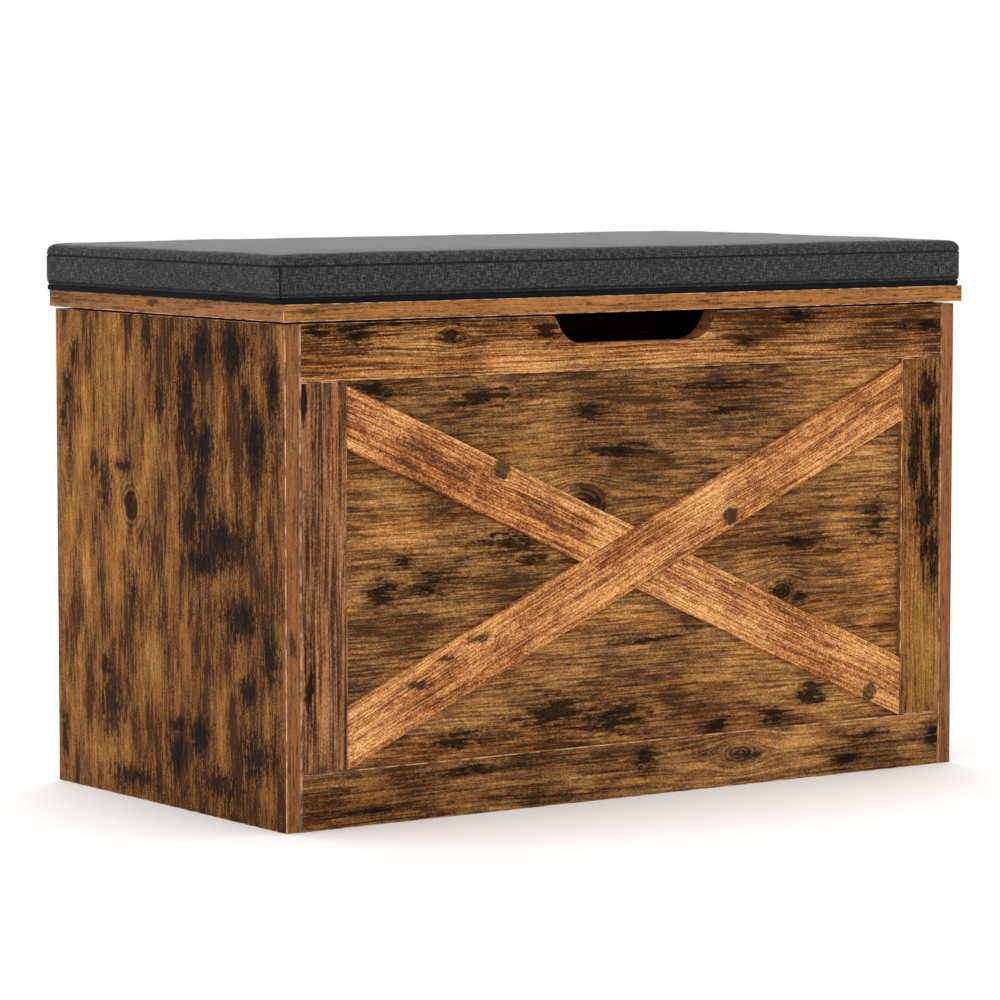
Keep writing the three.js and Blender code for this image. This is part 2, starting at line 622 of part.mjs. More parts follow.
const assembly = new THREE.Group();
const sides = [["left", -1], ["right", 1]];
for (const [side, sign] of sides) {
  assembly.add(sidePanel(side, sign), ...hinge(side, sign), ...lidStay(side, sign), bumper(side, sign));
}
assembly.add(frontPanel(), backPanel(), ...bottom(), ...trimFrame(), ...braces());
assembly.add(...camPlaces.map(cam), ...camPlaces.map(camBolt));
assembly.add(lidBoard(), ...cushion(), ...fasteningStrips());

// The lid's front edge and the hinges' knuckles are the outermost points in y, and the origin is between them.
assembly.position.y = (FRONT_OVERHANG - hingeRear) / 2;

const bench = new THREE.Group();
bench.add(assembly);
export default bench;
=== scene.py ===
"""Looks for a lift-top storage bench: print-faced boards, an X of boards on the front, a seat cushion in
slubby cloth, and its hinges, lid stays and cam fittings.

Sizes are in metres in the frame's own axes: X runs along the bench, Y from the front to the back, Z up.
Marks in a board's print are in millimetres, because that is how a print is laid out.
"""
import json
import logging
import math
from collections.abc import Callable
from dataclasses import dataclass, field
from enum import Enum

import bpy
from mathutils import Matrix, Vector, noise
from mathutils.bvhtree import BVHTree

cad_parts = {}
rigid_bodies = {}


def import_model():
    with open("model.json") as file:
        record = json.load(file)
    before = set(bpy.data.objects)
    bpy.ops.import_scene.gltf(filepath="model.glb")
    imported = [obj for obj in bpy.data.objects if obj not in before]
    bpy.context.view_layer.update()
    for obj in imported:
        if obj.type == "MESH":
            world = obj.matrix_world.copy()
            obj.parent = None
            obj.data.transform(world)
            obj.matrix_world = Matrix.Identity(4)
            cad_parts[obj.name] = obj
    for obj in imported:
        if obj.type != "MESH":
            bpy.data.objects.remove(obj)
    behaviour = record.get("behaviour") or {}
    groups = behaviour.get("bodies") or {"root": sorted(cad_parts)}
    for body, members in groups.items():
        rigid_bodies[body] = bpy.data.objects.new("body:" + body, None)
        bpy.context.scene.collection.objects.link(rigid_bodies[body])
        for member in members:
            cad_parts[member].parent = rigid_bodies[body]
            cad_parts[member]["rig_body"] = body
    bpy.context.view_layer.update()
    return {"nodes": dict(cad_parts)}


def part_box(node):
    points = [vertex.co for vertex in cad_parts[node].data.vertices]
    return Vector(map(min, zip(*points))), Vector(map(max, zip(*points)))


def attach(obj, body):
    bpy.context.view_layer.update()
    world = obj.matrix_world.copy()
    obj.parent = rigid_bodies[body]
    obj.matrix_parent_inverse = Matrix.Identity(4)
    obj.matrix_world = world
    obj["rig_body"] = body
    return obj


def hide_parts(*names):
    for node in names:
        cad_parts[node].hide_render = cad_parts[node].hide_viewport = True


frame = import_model()

LOG = logging.getLogger("bench")
MM = 0.001
X_AXIS, Y_AXIS, Z_AXIS = Vector((1, 0, 0)), Vector((0, 1, 0)), Vector((0, 0, 1))
BRACE_SLOPE = math.radians(24.1)

Tone = tuple[int, int, int]
Colour = tuple[float, float, float, float]


def linear(tone: Tone) -> Colour:
    """Turns a screen tone into the linear colour that a shader works in.

    Args:
        tone: Red, green and blue from 0 to 255.

    Returns:
        The same colour in linear light, with alpha 1.
    """
    parts = [value / 255 for value in tone]
    light = [p / 12.92 if p <= 0.04045 else ((p + 0.055) / 1.055) ** 2.4 for p in parts]
    return (light[0], light[1], light[2], 1.0)


def scaled(tone: Tone, amount: float) -> Tone:
    """The same tone, lighter or darker by an amount."""
    return tuple(round(min(value * amount, 255)) for value in tone)


# ------------------------------------------------------------------------------
# Shader expressions


class Signal:
    """A shader socket that is used in Python expressions. An expression on values adds its Math nodes."""

    def __init__(self, shader: "Shader", socket: bpy.types.NodeSocket) -> None:
        """Wraps an output socket of that shader's node tree."""
        self.shader = shader
        self.socket = socket

    def _math(self, operation: str, *values: "Signal | float") -> "Signal":
        """Adds one Math node.

        Args:
            operation: The Math node's operation.
            values: Its inputs, in order.

        Returns:
            The node's result.
        """
        return self.shader.node("ShaderNodeMath", {"operation": operation}, dict(enumerate(values)))

    def __add__(self, other: "Signal | float") -> "Signal":
        """Adds."""
        return self._math("ADD", self, other)

    __radd__ = __add__

    def __mul__(self, other: "Signal | float") -> "Signal":
        """Multiplies."""
        return self._math("MULTIPLY", self, other)

    __rmul__ = __mul__

    def __sub__(self, other: "Signal | float") -> "Signal":
        """Subtracts."""
        return self._math("SUBTRACT", self, other)

    def __rsub__(self, other: float) -> "Signal":
        """Subtracts this from a number."""
        return self._math("SUBTRACT", other, self)

    def __truediv__(self, other: "Signal | float") -> "Signal":
        """Divides."""
        return self._math("DIVIDE", self, other)

    def __rtruediv__(self, other: float) -> "Signal":
        """Divides a number by this."""
        return self._math("DIVIDE", other, self)

    def __pow__(self, power: float) -> "Signal":
        """Raises to a power."""
        return self._math("POWER", self, power)

    def at_least(self, other: "Signal | float") -> "Signal":
        """The larger of the two."""
        return self._math("MAXIMUM", self, other)

    def at_most(self, other: "Signal | float") -> "Signal":
        """The smaller of the two."""
        return self._math("MINIMUM", self, other)

    def size(self) -> "Signal":
        """The value without its sign."""
        return self._math("ABSOLUTE", self)

    def sine(self) -> "Signal":
        """The sine, in radians."""
        return self._math("SINE", self)

    def ramp(self, start: float, end: float, low: float = 0.0, high: float = 1.0) -> "Signal":
        """Goes smoothly from low to high while this goes from start to end.

        Args:
            start: Where the ramp begins.
            end: Where it ends, which may be less than start.
            low: The result at start and before it.
            high: The result at end and after it.

        Returns:
            The eased value, never outside low and high.
        """
        ends = {"Value": self, "From Min": start, "From Max": end, "To Min": low, "To Max": high}
        return self.shader.node("ShaderNodeMapRange", {"interpolation_type": "SMOOTHSTEP"}, ends)


class Shader:
    """A material's node tree with its Principled shader."""

    def __init__(self, name: str) -> None:
        """Makes the material, with only its Principled shader and output."""
        self.material = bpy.data.materials.new(name)
        self.material.use_nodes = True
        self.tree = self.material.node_tree
        self.surface = self.tree.nodes["Principled BSDF"]

    def node(self, kind: str, settings: dict | None = None, inputs: dict | None = None,
             output: int | str = 0) -> Signal:
        """Adds any node.

        Args:
            kind: The node's type.
            settings: Its properties, set first. A ramp's "stops" are pairs of place and colour.
            inputs: Values or links by socket name or number.
            output: The output to give back.

        Returns:
            That output as a signal.
        """
        made = self.tree.nodes.new(kind)
        for key, value in (settings or {}).items():
            if key == "stops":
                self._set_stops(made.color_ramp, value)
            else:
                setattr(made, key, value)
        for key, value in (inputs or {}).items():
            if isinstance(value, Signal):
                self.tree.links.new(value.socket, made.inputs[key])
            else:
                made.inputs[key].default_value = value
        return Signal(self, made.outputs[output])

    @staticmethod
    def _set_stops(ramp: bpy.types.ColorRamp, stops: list[tuple[float, Colour]]) -> None:
        """Gives a colour ramp these stops, from left to right."""
        while len(ramp.elements) < len(stops):
            ramp.elements.new(1.0)
        for element, (place, colour) in zip(ramp.elements, stops):
            element.position = place
            element.color = colour

    def place(self) -> Signal:
        """The point's place in the bench's own axes."""
        return self.node("ShaderNodeTexCoord", output="Object")

    def cloth_place(self) -> Signal:
        """The point's place on the cloth, in metres."""
        return self.node("ShaderNodeTexCoord", output="UV")

    def along(self, place: Signal, axis: Vector) -> Signal:
        """How far a place lies along an axis."""
        return self.node("ShaderNodeVectorMath", {"operation": "DOT_PRODUCT"}, {0: place, 1: axis}, "Value")

    def coordinates(self) -> list[Signal]:
        """How far the point lies along X, Y and Z."""
        place = self.place()
        return [self.along(place, axis) for axis in (X_AXIS, Y_AXIS, Z_AXIS)]

    def noise(self, first: Signal, second: Signal, third: Signal | float, detail: float = 2.0,
              roughness: float = 0.5) -> Signal:
        """Smooth noise on three coordinates, one cell to a unit, about 0 and mostly within 0.35 of it."""
        point = self.node("ShaderNodeCombineXYZ", None, {0: first, 1: second, 2: third})
        return self.node("ShaderNodeTexNoise", None,
                         {"Vector": point, "Scale": 1.0, "Detail": detail, "Roughness": roughness}) - 0.5

    def blend(self, share: Signal | float, one: Signal | Colour, other: Signal | Colour,
              how: str = "MIX") -> Signal:
        """Mixes two colours.

        Args:
            share: How much of the other, from 0 to 1.
            one: The colour at 0.
            other: The colour at 1.
            how: The blend type.

        Returns:
            The mixed colour.
        """
        return self.node("ShaderNodeMix", {"data_type": "RGBA", "blend_type": how},
                         {0: share, 6: one, 7: other}, 2)

    def finish(self, **sockets: "Signal | float | Colour") -> bpy.types.Material:
        """Feeds the Principled shader.

        Args:
            sockets: Values or links, by socket name with _ for a space.

        Returns:
            The finished material.
        """
        for name, value in sockets.items():
            socket = self.surface.inputs[name.replace("_", " ")]
            if isinstance(value, Signal):
                self.tree.links.new(value.socket, socket)
            else:
                socket.default_value = value
        return self.material

    def relief(self, height: Signal, depth: float, strength: float = 1.0) -> Signal:
        """A normal for a surface that stands up by depth where height is 1."""
        return self.node("ShaderNodeBump", None, {"Strength": strength, "Distance": depth, "Height": height})


# ------------------------------------------------------------------------------
# Board prints


class Grain(Enum):
    """The way a print runs: the axis along the grain, the axis across it, and the sideways axis of marks."""

    LEVEL = (X_AXIS, Z_AXIS, X_AXIS)
    LEVEL_END = (Y_AXIS, Z_AXIS, Y_AXIS)
    UPRIGHT = (Z_AXIS, X_AXIS, X_AXIS)
    UPRIGHT_END = (Z_AXIS, Y_AXIS, Y_AXIS)
    FLAT = (X_AXIS, Y_AXIS, X_AXIS)
    RISING = (Vector((math.cos(BRACE_SLOPE), 0, math.sin(BRACE_SLOPE))),
              Vector((-math.sin(BRACE_SLOPE), 0, math.cos(BRACE_SLOPE))), X_AXIS)
    FALLING = (Vector((math.cos(BRACE_SLOPE), 0, -math.sin(BRACE_SLOPE))),
               Vector((math.sin(BRACE_SLOPE), 0, math.cos(BRACE_SLOPE))), X_AXIS)

    @property
    def with_grain(self) -> Vector:
        """The axis along the grain."""
        return self.value[0]

    @property
    def cross_grain(self) -> Vector:
        """The axis across the grain."""
        return self.value[1]

    @property
    def thickness(self) -> Vector:
        """The axis through the board."""
        return self.with_grain.cross(self.cross_grain)

    def spot(self, side: float, height: float) -> Vector:
        """A mark's place: side along the sideways axis and height up, both in millimetres."""
        return (side * self.value[2] + height * Z_AXIS) * MM


@dataclass(frozen=True)
class Stain:
    """A dark patch in a print: its middle and half sizes, sideways and up, in millimetres.

    A faint stain has a weight below 1.
    """

    side: float
    height: float
    half_side: float
    half_height: float
    weight: float = 1.0


@dataclass(frozen=True)
class Knot:
    """A knot that the grain runs round: its middle and radius in millimetres.

    Stretch lengthens it along the grain, and reach says how far, in radii, the grain still bends.
    """

    side: float
    height: float
    radius: float
    stretch: float = 1.3
    reach: float = 1.6
    dark: float = 1.0
    rings: float = 0.12


@dataclass(frozen=True)
class Fade:
    """A slow change of shade over a board, from start to end in millimetres, sideways or up."""

    upward: bool
    start: float
    end: float
    amount: float


@dataclass(frozen=True)
class WoodPrint:
    """The printed wood of one board: five tones from dark to light, and how much each figure shows."""

    name: str
    grain: Grain
    tones: tuple[Tone, Tone, Tone, Tone, Tone]
    seed: float
    lines: float = 1.0
    bands: float = 1.0
    drift: float = 1.0
    clouds: float = 0.5
    flecks: float = 0.5
    grit: float = 1.0
    mottling: float = 0.6
    pitch: float = 470.0
    cloud_pitch: float = 26.0
    run: float = 13.0
    veins: float = 1.0
    floor_shade: float = 0.06
    fleck_reach: float = 0.19
    red: float = 0.5
    stain_tone: Tone = (22, 13, 5)
    stains: tuple[Stain, ...] = ()
    knots: tuple[Knot, ...] = ()
    fades: tuple[Fade, ...] = ()

    STOPS = (0.0, 0.26, 0.5, 0.76, 1.0)
    RED_TINT = (0.98, 0.79, 0.64, 1.0)

    def material(self) -> bpy.types.Material:
        """Paints the print.

        Returns:
            The board's material.
        """
        sh = Shader(self.name)
        place = sh.place()
        along = sh.along(place, self.grain.with_grain)
        across = sh.along(place, self.grain.cross_grain)
        layer = sh.along(place, self.grain.thickness) * 30 + self.seed
        line_at = across + sh.noise(along * 3.2, across * 9, layer) * 0.014
        ring, knot_mask, rings = None, None, 0.0
        for knot in self.knots:
            spot = self.grain.spot(knot.side, knot.height)
            off_across = across - spot.dot(self.grain.cross_grain)
            off_along = (along - spot.dot(self.grain.with_grain)) / knot.stretch
            away = (off_across * off_across + off_along * off_along) ** 0.5 / (knot.radius * MM)
            line_at = line_at - off_across * (knot.reach / (away * away).at_least(knot.reach))
            rough = away + sh.noise(along * 160, across * 160, layer, 2) * 0.9
            mask = rough.ramp(1.12, 0.72) * knot.dark
            knot_mask = mask if knot_mask is None else knot_mask.at_least(mask)
            ring = away if ring is None else ring.at_most(away)
            if knot.rings:
                rings = (away * 11 + rough * 2).sine() * away.ramp(2.6, 0.9) * knot.rings + rings
        fine = sh.noise(along * self.run, line_at * self.pitch, layer, 2)
        line = fine.ramp(-0.13, 0.10) - 0.55
        band = sh.noise(along * 6, line_at * 120, layer + 3, 2)
        broad = sh.noise(along * 2.6, line_at * 24, layer + 7, 1)
        ragged = sh.noise(along * 34, across * 240, layer + 11, 2, 0.6)
        mottle = sh.noise(along * 120, across * 270, layer + 5, 3, 0.72)
        cloud = sh.noise(along * 11, across * self.cloud_pitch, layer + 13, 4, 0.62)
        speck = sh.noise(along * 520, across * 700, layer + 17, 1)
        dash = sh.noise(along * 62, across * 480, layer + 19, 1)
        lined = cloud.ramp(-0.12, 0.08)
        thin = sh.noise(along * 6, line_at * 210, layer + 29, 2).size().ramp(0.05, 0.008) * lined
        patch = cloud + ragged * 0.40 + mottle * 0.20
        shade = (0.53 + line * (0.30 * self.lines) + band * (0.55 * self.bands) + broad * (0.6 * self.drift)
                 + speck * (0.8 * self.grit) + mottle * (1.1 * self.mottling) - thin * (0.26 * self.veins)
                 - patch.ramp(0.02, 0.13) * (0.30 * self.clouds)
                 + patch.ramp(-0.03, -0.14) * (0.20 * self.clouds))
        for fade in self.fades:
            way = sh.along(place, Z_AXIS if fade.upward else self.grain.value[2])
            shade = shade + (way + cloud * 0.05).ramp(fade.start * MM, fade.end * MM) * fade.amount
        shade = shade.at_least(self.floor_shade)
        dark = (dash + fine * 0.5).ramp(-self.fleck_reach, -self.fleck_reach - 0.09) * self.flecks
        if self.stains:
            torn = self._nearest_stain(sh, place) + (ragged * 4.0 + mottle * 2.6 + cloud * 2.0)
            shade = shade - torn.ramp(2.1, 0.9) * 0.19
            dark = dark.at_least(torn.ramp(1.15, 0.55) * (0.82 + line * 0.18 + speck * 1.0))
        if knot_mask is not None:
            shade = shade + rings
            rim = (ring - 1.0) * (ring - 1.0)
            dark = dark.at_least(knot_mask * (0.88 + rim.ramp(0.06, 0.0) * 0.12 + mottle * 0.8))
        colour = sh.node("ShaderNodeValToRGB",
                         {"stops": [(stop, linear(tone)) for stop, tone in zip(self.STOPS, self.tones)]},
                         {"Fac": shade})
        redness = sh.noise(along * 5, line_at * 34, layer + 23, 2).ramp(-0.08, 0.22) * self.red
        colour = sh.blend(redness, colour, self.RED_TINT, "MULTIPLY")
        colour = sh.blend(dark, colour, linear(self.stain_tone))
        height = fine * 0.6 + band * 0.4 - dark * 0.3
        return sh.finish(Base_Color=colour, Roughness=0.55 + fine * 0.18 - dark * 0.06,
                         Normal=sh.relief(height, 0.00018, 0.45), Specular_IOR_Level=0.03)

    def _nearest_stain(self, sh: Shader, place: Signal) -> Signal:
        """How far the nearest stain is.

        Args:
            sh: The shader that is being made.
            place: The point's place.

        Returns:
            The distance from the nearest stain's middle, 1 on its outline.
        """
        side_axis, nearest = self.grain.value[2], None
        for stain in self.stains:
            spot = self.grain.spot(stain.side, stain.height)
            scale = side_axis / (stain.half_side * MM) + Z_AXIS / (stain.half_height * MM)
            off = sh.node("ShaderNodeVectorMath", {"operation": "SUBTRACT"}, {0: place, 1: spot})
            off = sh.node("ShaderNodeVectorMath", {"operation": "MULTIPLY"}, {0: off, 1: scale})
            far = sh.node("ShaderNodeVectorMath", {"operation": "LENGTH"}, {0: off}, "Value")
            if stain.weight != 1.0:
                far = far + (1 - stain.weight)
            nearest = far if nearest is None else nearest.at_most(far)
        return nearest


@dataclass(frozen=True)
class BandPrint:
    """The plain edge band of the boards, with few flecks."""

    name: str
    grain: Grain
    tone: Tone
    seed: float
    stains: tuple[Stain, ...] = ()

    def material(self) -> bpy.types.Material:
        """Paints the band."""
        tones = tuple(scaled(self.tone, amount) for amount in (0.62, 0.85, 1.0, 1.10, 1.2))
        return WoodPrint(self.name, self.grain, tones, self.seed, lines=1.0, bands=0.7, drift=0.7, clouds=0.3,
                         flecks=0.8, grit=1.1, mottling=0.9, fleck_reach=0.13, red=0.25, stains=self.stains,
                         stain_tone=(70, 45, 28)).material()


SIDE_TONES = ((26, 16, 9), (78, 48, 26), (126, 83, 41), (150, 103, 51), (182, 134, 70))
FIELD_TONES = ((40, 26, 15), (89, 59, 34), (126, 87, 49), (170, 121, 69), (211, 163, 97))
RAIL_TONES = ((44, 26, 12), (98, 61, 31), (144, 96, 53), (190, 137, 82), (228, 178, 114))
STILE_TONES = ((44, 28, 18), (90, 58, 36), (124, 82, 52), (158, 109, 70), (190, 138, 92))
BRACE_TONES = ((76, 42, 22), (126, 75, 41), (176, 116, 67), (222, 159, 96), (250, 196, 132))
TIMBER_TONES = ((150, 116, 74), (182, 146, 98), (206, 172, 122), (222, 192, 144), (234, 208, 164))

LEFT_SIDE_STAINS = (
    Stain(108, 281, 9, 26), Stain(-33, 361, 12, 30), Stain(12, 363, 7, 13), Stain(32, 422, 9, 17),
    Stain(-62, 327, 16, 18), Stain(-54, 289, 12, 16), Stain(-36, 258, 11, 16), Stain(-92, 242, 36, 18),
    Stain(-176, 386, 7, 21), Stain(-132, 373, 6, 9), Stain(-150, 333, 13, 24), Stain(-112, 410, 20, 18, 0.75),
    Stain(164, 397, 5, 11), Stain(176, 368, 7, 14), Stain(183, 340, 6, 14, 0.8), Stain(128, 300, 7, 9),
    Stain(76, 300, 12, 4), Stain(-66, 225, 30, 9), Stain(58, 187, 6, 16), Stain(100, 79, 20, 22),
    Stain(110, 115, 7, 8), Stain(183, 43, 7, 19), Stain(-17, 76, 12, 6), Stain(-15, 50, 13, 15),
    Stain(-53, 68, 14, 13), Stain(-171, 149, 9, 19), Stain(-133, 118, 9, 11), Stain(-120, 180, 26, 14, 0.8),
    Stain(-150, 60, 22, 16, 0.8), Stain(-90, 30, 24, 12, 0.75), Stain(60, 20, 40, 10, 0.7),
    Stain(-30, 395, 10, 20, 0.8), Stain(-60, 410, 14, 16, 0.75), Stain(-45, 330, 9, 24, 0.8),
)
FIELD_STAINS = (
    Stain(-281, 378, 17, 8), Stain(-168, 368, 22, 6), Stain(-50, 352, 18, 7, 0.85), Stain(-22, 315, 29, 5),
    Stain(93, 370, 34, 6, 0.8), Stain(109, 348, 16, 6, 0.85), Stain(-219, 206, 26, 10, 0.85),
    Stain(-272, 202, 13, 8), Stain(-249, 229, 8, 6), Stain(-113, 221, 11, 6), Stain(-133, 236, 32, 8, 0.85),
    Stain(-85, 81, 34, 13, 0.85), Stain(-189, 66, 33, 7, 0.85), Stain(-20, 73, 28, 11, 0.85),
    Stain(14, 141, 23, 2), Stain(194, 220, 22, 7, 0.9), Stain(170, 176, 13, 7), Stain(192, 171, 8, 6),
    Stain(95, 57, 12, 6), Stain(206, 77, 13, 8), Stain(162, 61, 13, 6), Stain(-60, 265, 26, 7, 0.8),
    Stain(250, 330, 26, 9, 0.8), Stain(285, 235, 16, 18, 0.8),
)
TOP_RAIL_STAINS = (
    Stain(-303, 429, 14, 7), Stain(-344, 431, 16, 4, 0.8), Stain(-202, 424, 10, 5, 0.8),
    Stain(-100, 424, 9, 9, 0.8), Stain(185, 431, 19, 5, 0.8), Stain(126, 407, 12, 5, 0.75),
    Stain(335, 418, 25, 4, 0.8), Stain(-250, 436, 60, 2, 0.7),
)
RIGHT_STILE_STAINS = (
    Stain(344, 355, 9, 13), Stain(340, 242, 10, 19), Stain(346, 207, 10, 13), Stain(351, 184, 6, 9),
    Stain(329, 301, 6, 28), Stain(353, 309, 6, 25),
)
BOTTOM_RAIL_STAINS = (
    Stain(12, 34, 12, 9, 0.9), Stain(246, 15, 16, 6, 0.9), Stain(354, 27, 8, 11), Stain(127, 28, 14, 4, 0.85),
    Stain(277, 35, 20, 4, 0.85), Stain(-180, 40, 34, 4, 0.85), Stain(-290, 12, 30, 4, 0.8),
)
LID_EDGE_STAINS = (Stain(-353, 448, 11, 3), Stain(72, 447, 14, 1.5, 0.8), Stain(-57, 449, 9, 1.5, 0.7))


SIDE_FIGURE = dict(lines=0.6, bands=0.4, drift=0.4, clouds=1.25, flecks=0.9, grit=1.2, mottling=1.0,
                   cloud_pitch=40, run=18, floor_shade=0.16, red=0.35)
FIELD_FIGURE = dict(lines=1.05, bands=0.45, drift=0.4, clouds=0.8, flecks=0.4, veins=0.7, run=26, pitch=540)
BRACE_FIGURE = dict(bands=0.25, drift=0.25, veins=0.3, flecks=0.3, grit=1.3, mottling=0.9, pitch=900, run=9,
                    stain_tone=(50, 40, 30))

PRINTS = {
    "left_side_panel": WoodPrint(
        "side_print", Grain.UPRIGHT_END, SIDE_TONES, 1.7, **SIDE_FIGURE, stains=LEFT_SIDE_STAINS,
        knots=(Knot(62, 265, 12, 1.15, 3.2, 1.0, 0.16), Knot(172, 294, 9, 1.2, 1.6, 0.5, 0.05)),
        fades=(Fade(False, 40, -30, -0.10), Fade(True, 60, 5, -0.08), Fade(False, 0, 110, 0.07))),
    "right_side_panel": WoodPrint(
        "right_side_print", Grain.UPRIGHT_END, SIDE_TONES, 5.3, **SIDE_FIGURE,
        knots=(Knot(-80, 310, 12, 1.3, 3.2), Knot(110, 120, 10, 1.3, 2.4)),
        stains=(Stain(-110, 300, 9, 28), Stain(40, 370, 12, 30), Stain(20, 230, 24, 18),
                Stain(150, 200, 8, 30), Stain(-40, 90, 18, 20), Stain(90, 60, 12, 24))),
    "front_panel": WoodPrint(
        "field_print", Grain.LEVEL, FIELD_TONES, 2.9, **FIELD_FIGURE, red=0.75, floor_shade=0.12,
        stains=FIELD_STAINS,
        knots=(Knot(-60, 270, 9, 1.8, 3.0, 0.15), Knot(172, 176, 7, 1.5, 3.0, 0.6)),
        fades=(Fade(True, 290, 350, -0.08), Fade(True, 140, 90, -0.06), Fade(False, 120, 260, 0.06))),
    "back_panel": WoodPrint(
        "back_print", Grain.LEVEL, FIELD_TONES, 8.1, **FIELD_FIGURE, red=0.45,
        knots=(Knot(-180, 260, 10, 1.5, 3.0), Knot(140, 150, 9, 1.6, 3.0)),
        stains=(Stain(-220, 330, 30, 9), Stain(60, 350, 24, 7), Stain(210, 290, 30, 8),
                Stain(-60, 160, 34, 11), Stain(-250, 90, 26, 9), Stain(240, 110, 22, 8),
                Stain(40, 60, 30, 9))),
    "bottom_panel": WoodPrint("bottom_print", Grain.FLAT, FIELD_TONES, 11.2, **FIELD_FIGURE),
    "lid_board": WoodPrint("lid_print", Grain.FLAT, FIELD_TONES, 13.9, **FIELD_FIGURE),
    "top_rail": WoodPrint(
        "top_rail_print", Grain.LEVEL, RAIL_TONES, 3.3, lines=1.3, bands=0.45, drift=0.3, clouds=0.45,
        flecks=0.4, pitch=560, red=0.8, stains=TOP_RAIL_STAINS,
        knots=(Knot(-202, 424, 4, 1.6, 2.0, 0.7, 0.04),),
        fades=(Fade(True, 408, 422, -0.14), Fade(False, 60, 150, -0.14), Fade(True, 404, 394, 0.08))),
    "bottom_rail": WoodPrint(
        "bottom_rail_print", Grain.LEVEL, FIELD_TONES, 6.6, lines=0.85, bands=0.6, drift=0.6, clouds=0.8,
        flecks=0.4, red=0.7, stains=BOTTOM_RAIL_STAINS, knots=(Knot(120, 30, 6, 2.2, 4.0, 0.3),)),
    "left_stile": WoodPrint(
        "left_stile_print", Grain.UPRIGHT, STILE_TONES, 4.4, lines=1.7, bands=0.5, drift=0.4, clouds=0.4,
        flecks=0.4, red=0.5, stains=(Stain(-355, 376, 4, 14), Stain(-352, 120, 5, 30, 0.7))),
    "right_stile": WoodPrint(
        "right_stile_print", Grain.UPRIGHT, SIDE_TONES, 9.2, lines=1.0, bands=0.7, drift=0.7, clouds=0.7,
        flecks=0.4, red=0.35, stains=RIGHT_STILE_STAINS,
        fades=(Fade(True, 185, 165, 0.15), Fade(True, 200, 260, -0.12))),
    "long_brace": WoodPrint(
        "long_brace_print", Grain.RISING, BRACE_TONES, 7.4, **BRACE_FIGURE, lines=1.1, clouds=0.55, red=0.3,
        knots=(Knot(108, 250, 9, 1.0, 0.3, 0.95, 0.0),),
        stains=(Stain(-235, 119, 9, 3), Stain(-205, 140, 9, 3, 0.9), Stain(-173, 156, 10, 3, 0.9))),
    "upper_short_brace": WoodPrint(
        "upper_brace_print", Grain.FALLING, BRACE_TONES, 10.5, **BRACE_FIGURE, lines=1.05, clouds=0.8,
        red=0.45, knots=(Knot(-148, 305, 10, 1.0, 0.3, 0.95, 0.0),), fades=(Fade(False, -130, -170, -0.09),)),
    "lower_short_brace": WoodPrint(
        "lower_brace_print", Grain.FALLING, BRACE_TONES, 12.8, **BRACE_FIGURE, lines=1.1, clouds=0.5, red=0.3,
        knots=(Knot(275, 76, 9, 1.0, 0.3, 0.95, 0.0),), fades=(Fade(False, 130, 60, 0.08),)),
}


# ------------------------------------------------------------------------------
# Mesh helpers


def activate(piece: bpy.types.Object) -> None:
    """Makes a piece the only one selected and the active one."""
    if bpy.context.object and bpy.context.object.mode != "OBJECT":
        bpy.ops.object.mode_set(mode="OBJECT")
    bpy.ops.object.select_all(action="DESELECT")
    piece.select_set(True)
    bpy.context.view_layer.objects.active = piece


def named(piece: bpy.types.Object, name: str) -> bpy.types.Object:
    """Names a piece and its mesh."""
    piece.name = name
    piece.data.name = name
    return piece


def choose_edges(piece: bpy.types.Object, rule: Callable[[Vector, Vector], bool]) -> None:
    """Selects the edges whose two ends pass a rule, in edge mode.

    Args:
        piece: The active mesh, in edit mode.
        rule: Takes the places of an edge's ends and says whether it is chosen.
    """
    bpy.ops.mesh.select_mode(type="EDGE")
    bpy.ops.mesh.select_all(action="DESELECT")
    bpy.ops.object.mode_set(mode="OBJECT")
    points = [vertex.co.copy() for vertex in piece.data.vertices]
    for edge in piece.data.edges:
        edge.select = rule(points[edge.vertices[0]], points[edge.vertices[1]])
    bpy.ops.object.mode_set(mode="EDIT")


def choose_faces(piece: bpy.types.Object, rule: Callable[[Vector], bool]) -> None:
    """Selects the faces whose middle passes a rule, in face mode.

    Args:
        piece: The active mesh, in edit mode.
        rule: Takes a face's middle and says whether it is chosen.
    """
    bpy.ops.mesh.select_mode(type="FACE")
    bpy.ops.mesh.select_all(action="DESELECT")
    bpy.ops.object.mode_set(mode="OBJECT")
    for polygon in piece.data.polygons:
        polygon.select = rule(polygon.center)
    bpy.ops.object.mode_set(mode="EDIT")


def add_block(name: str, low: Vector, high: Vector) -> bpy.types.Object:
    """Adds a block between two corners, with its place in its mesh and ready in object mode."""
    bpy.ops.object.select_all(action="DESELECT")
    bpy.ops.mesh.primitive_cube_add(size=1, location=(low + high) / 2)
    block = bpy.context.object
    block.scale = high - low
    bpy.ops.object.transform_apply(location=True, rotation=True, scale=True)
    return named(block, name)


def settle(piece: bpy.types.Object, body: str, slot: str, *materials: bpy.types.Material) -> None:
    """Gives a piece its materials and body, and reports it."""
    piece.data.materials.clear()
    for material in materials:
        piece.data.materials.append(material)
    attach(piece, body)
    LOG.info("%s rides on %s, %d faces", piece.name, body, len(piece.data.polygons))


# ------------------------------------------------------------------------------
# Boards


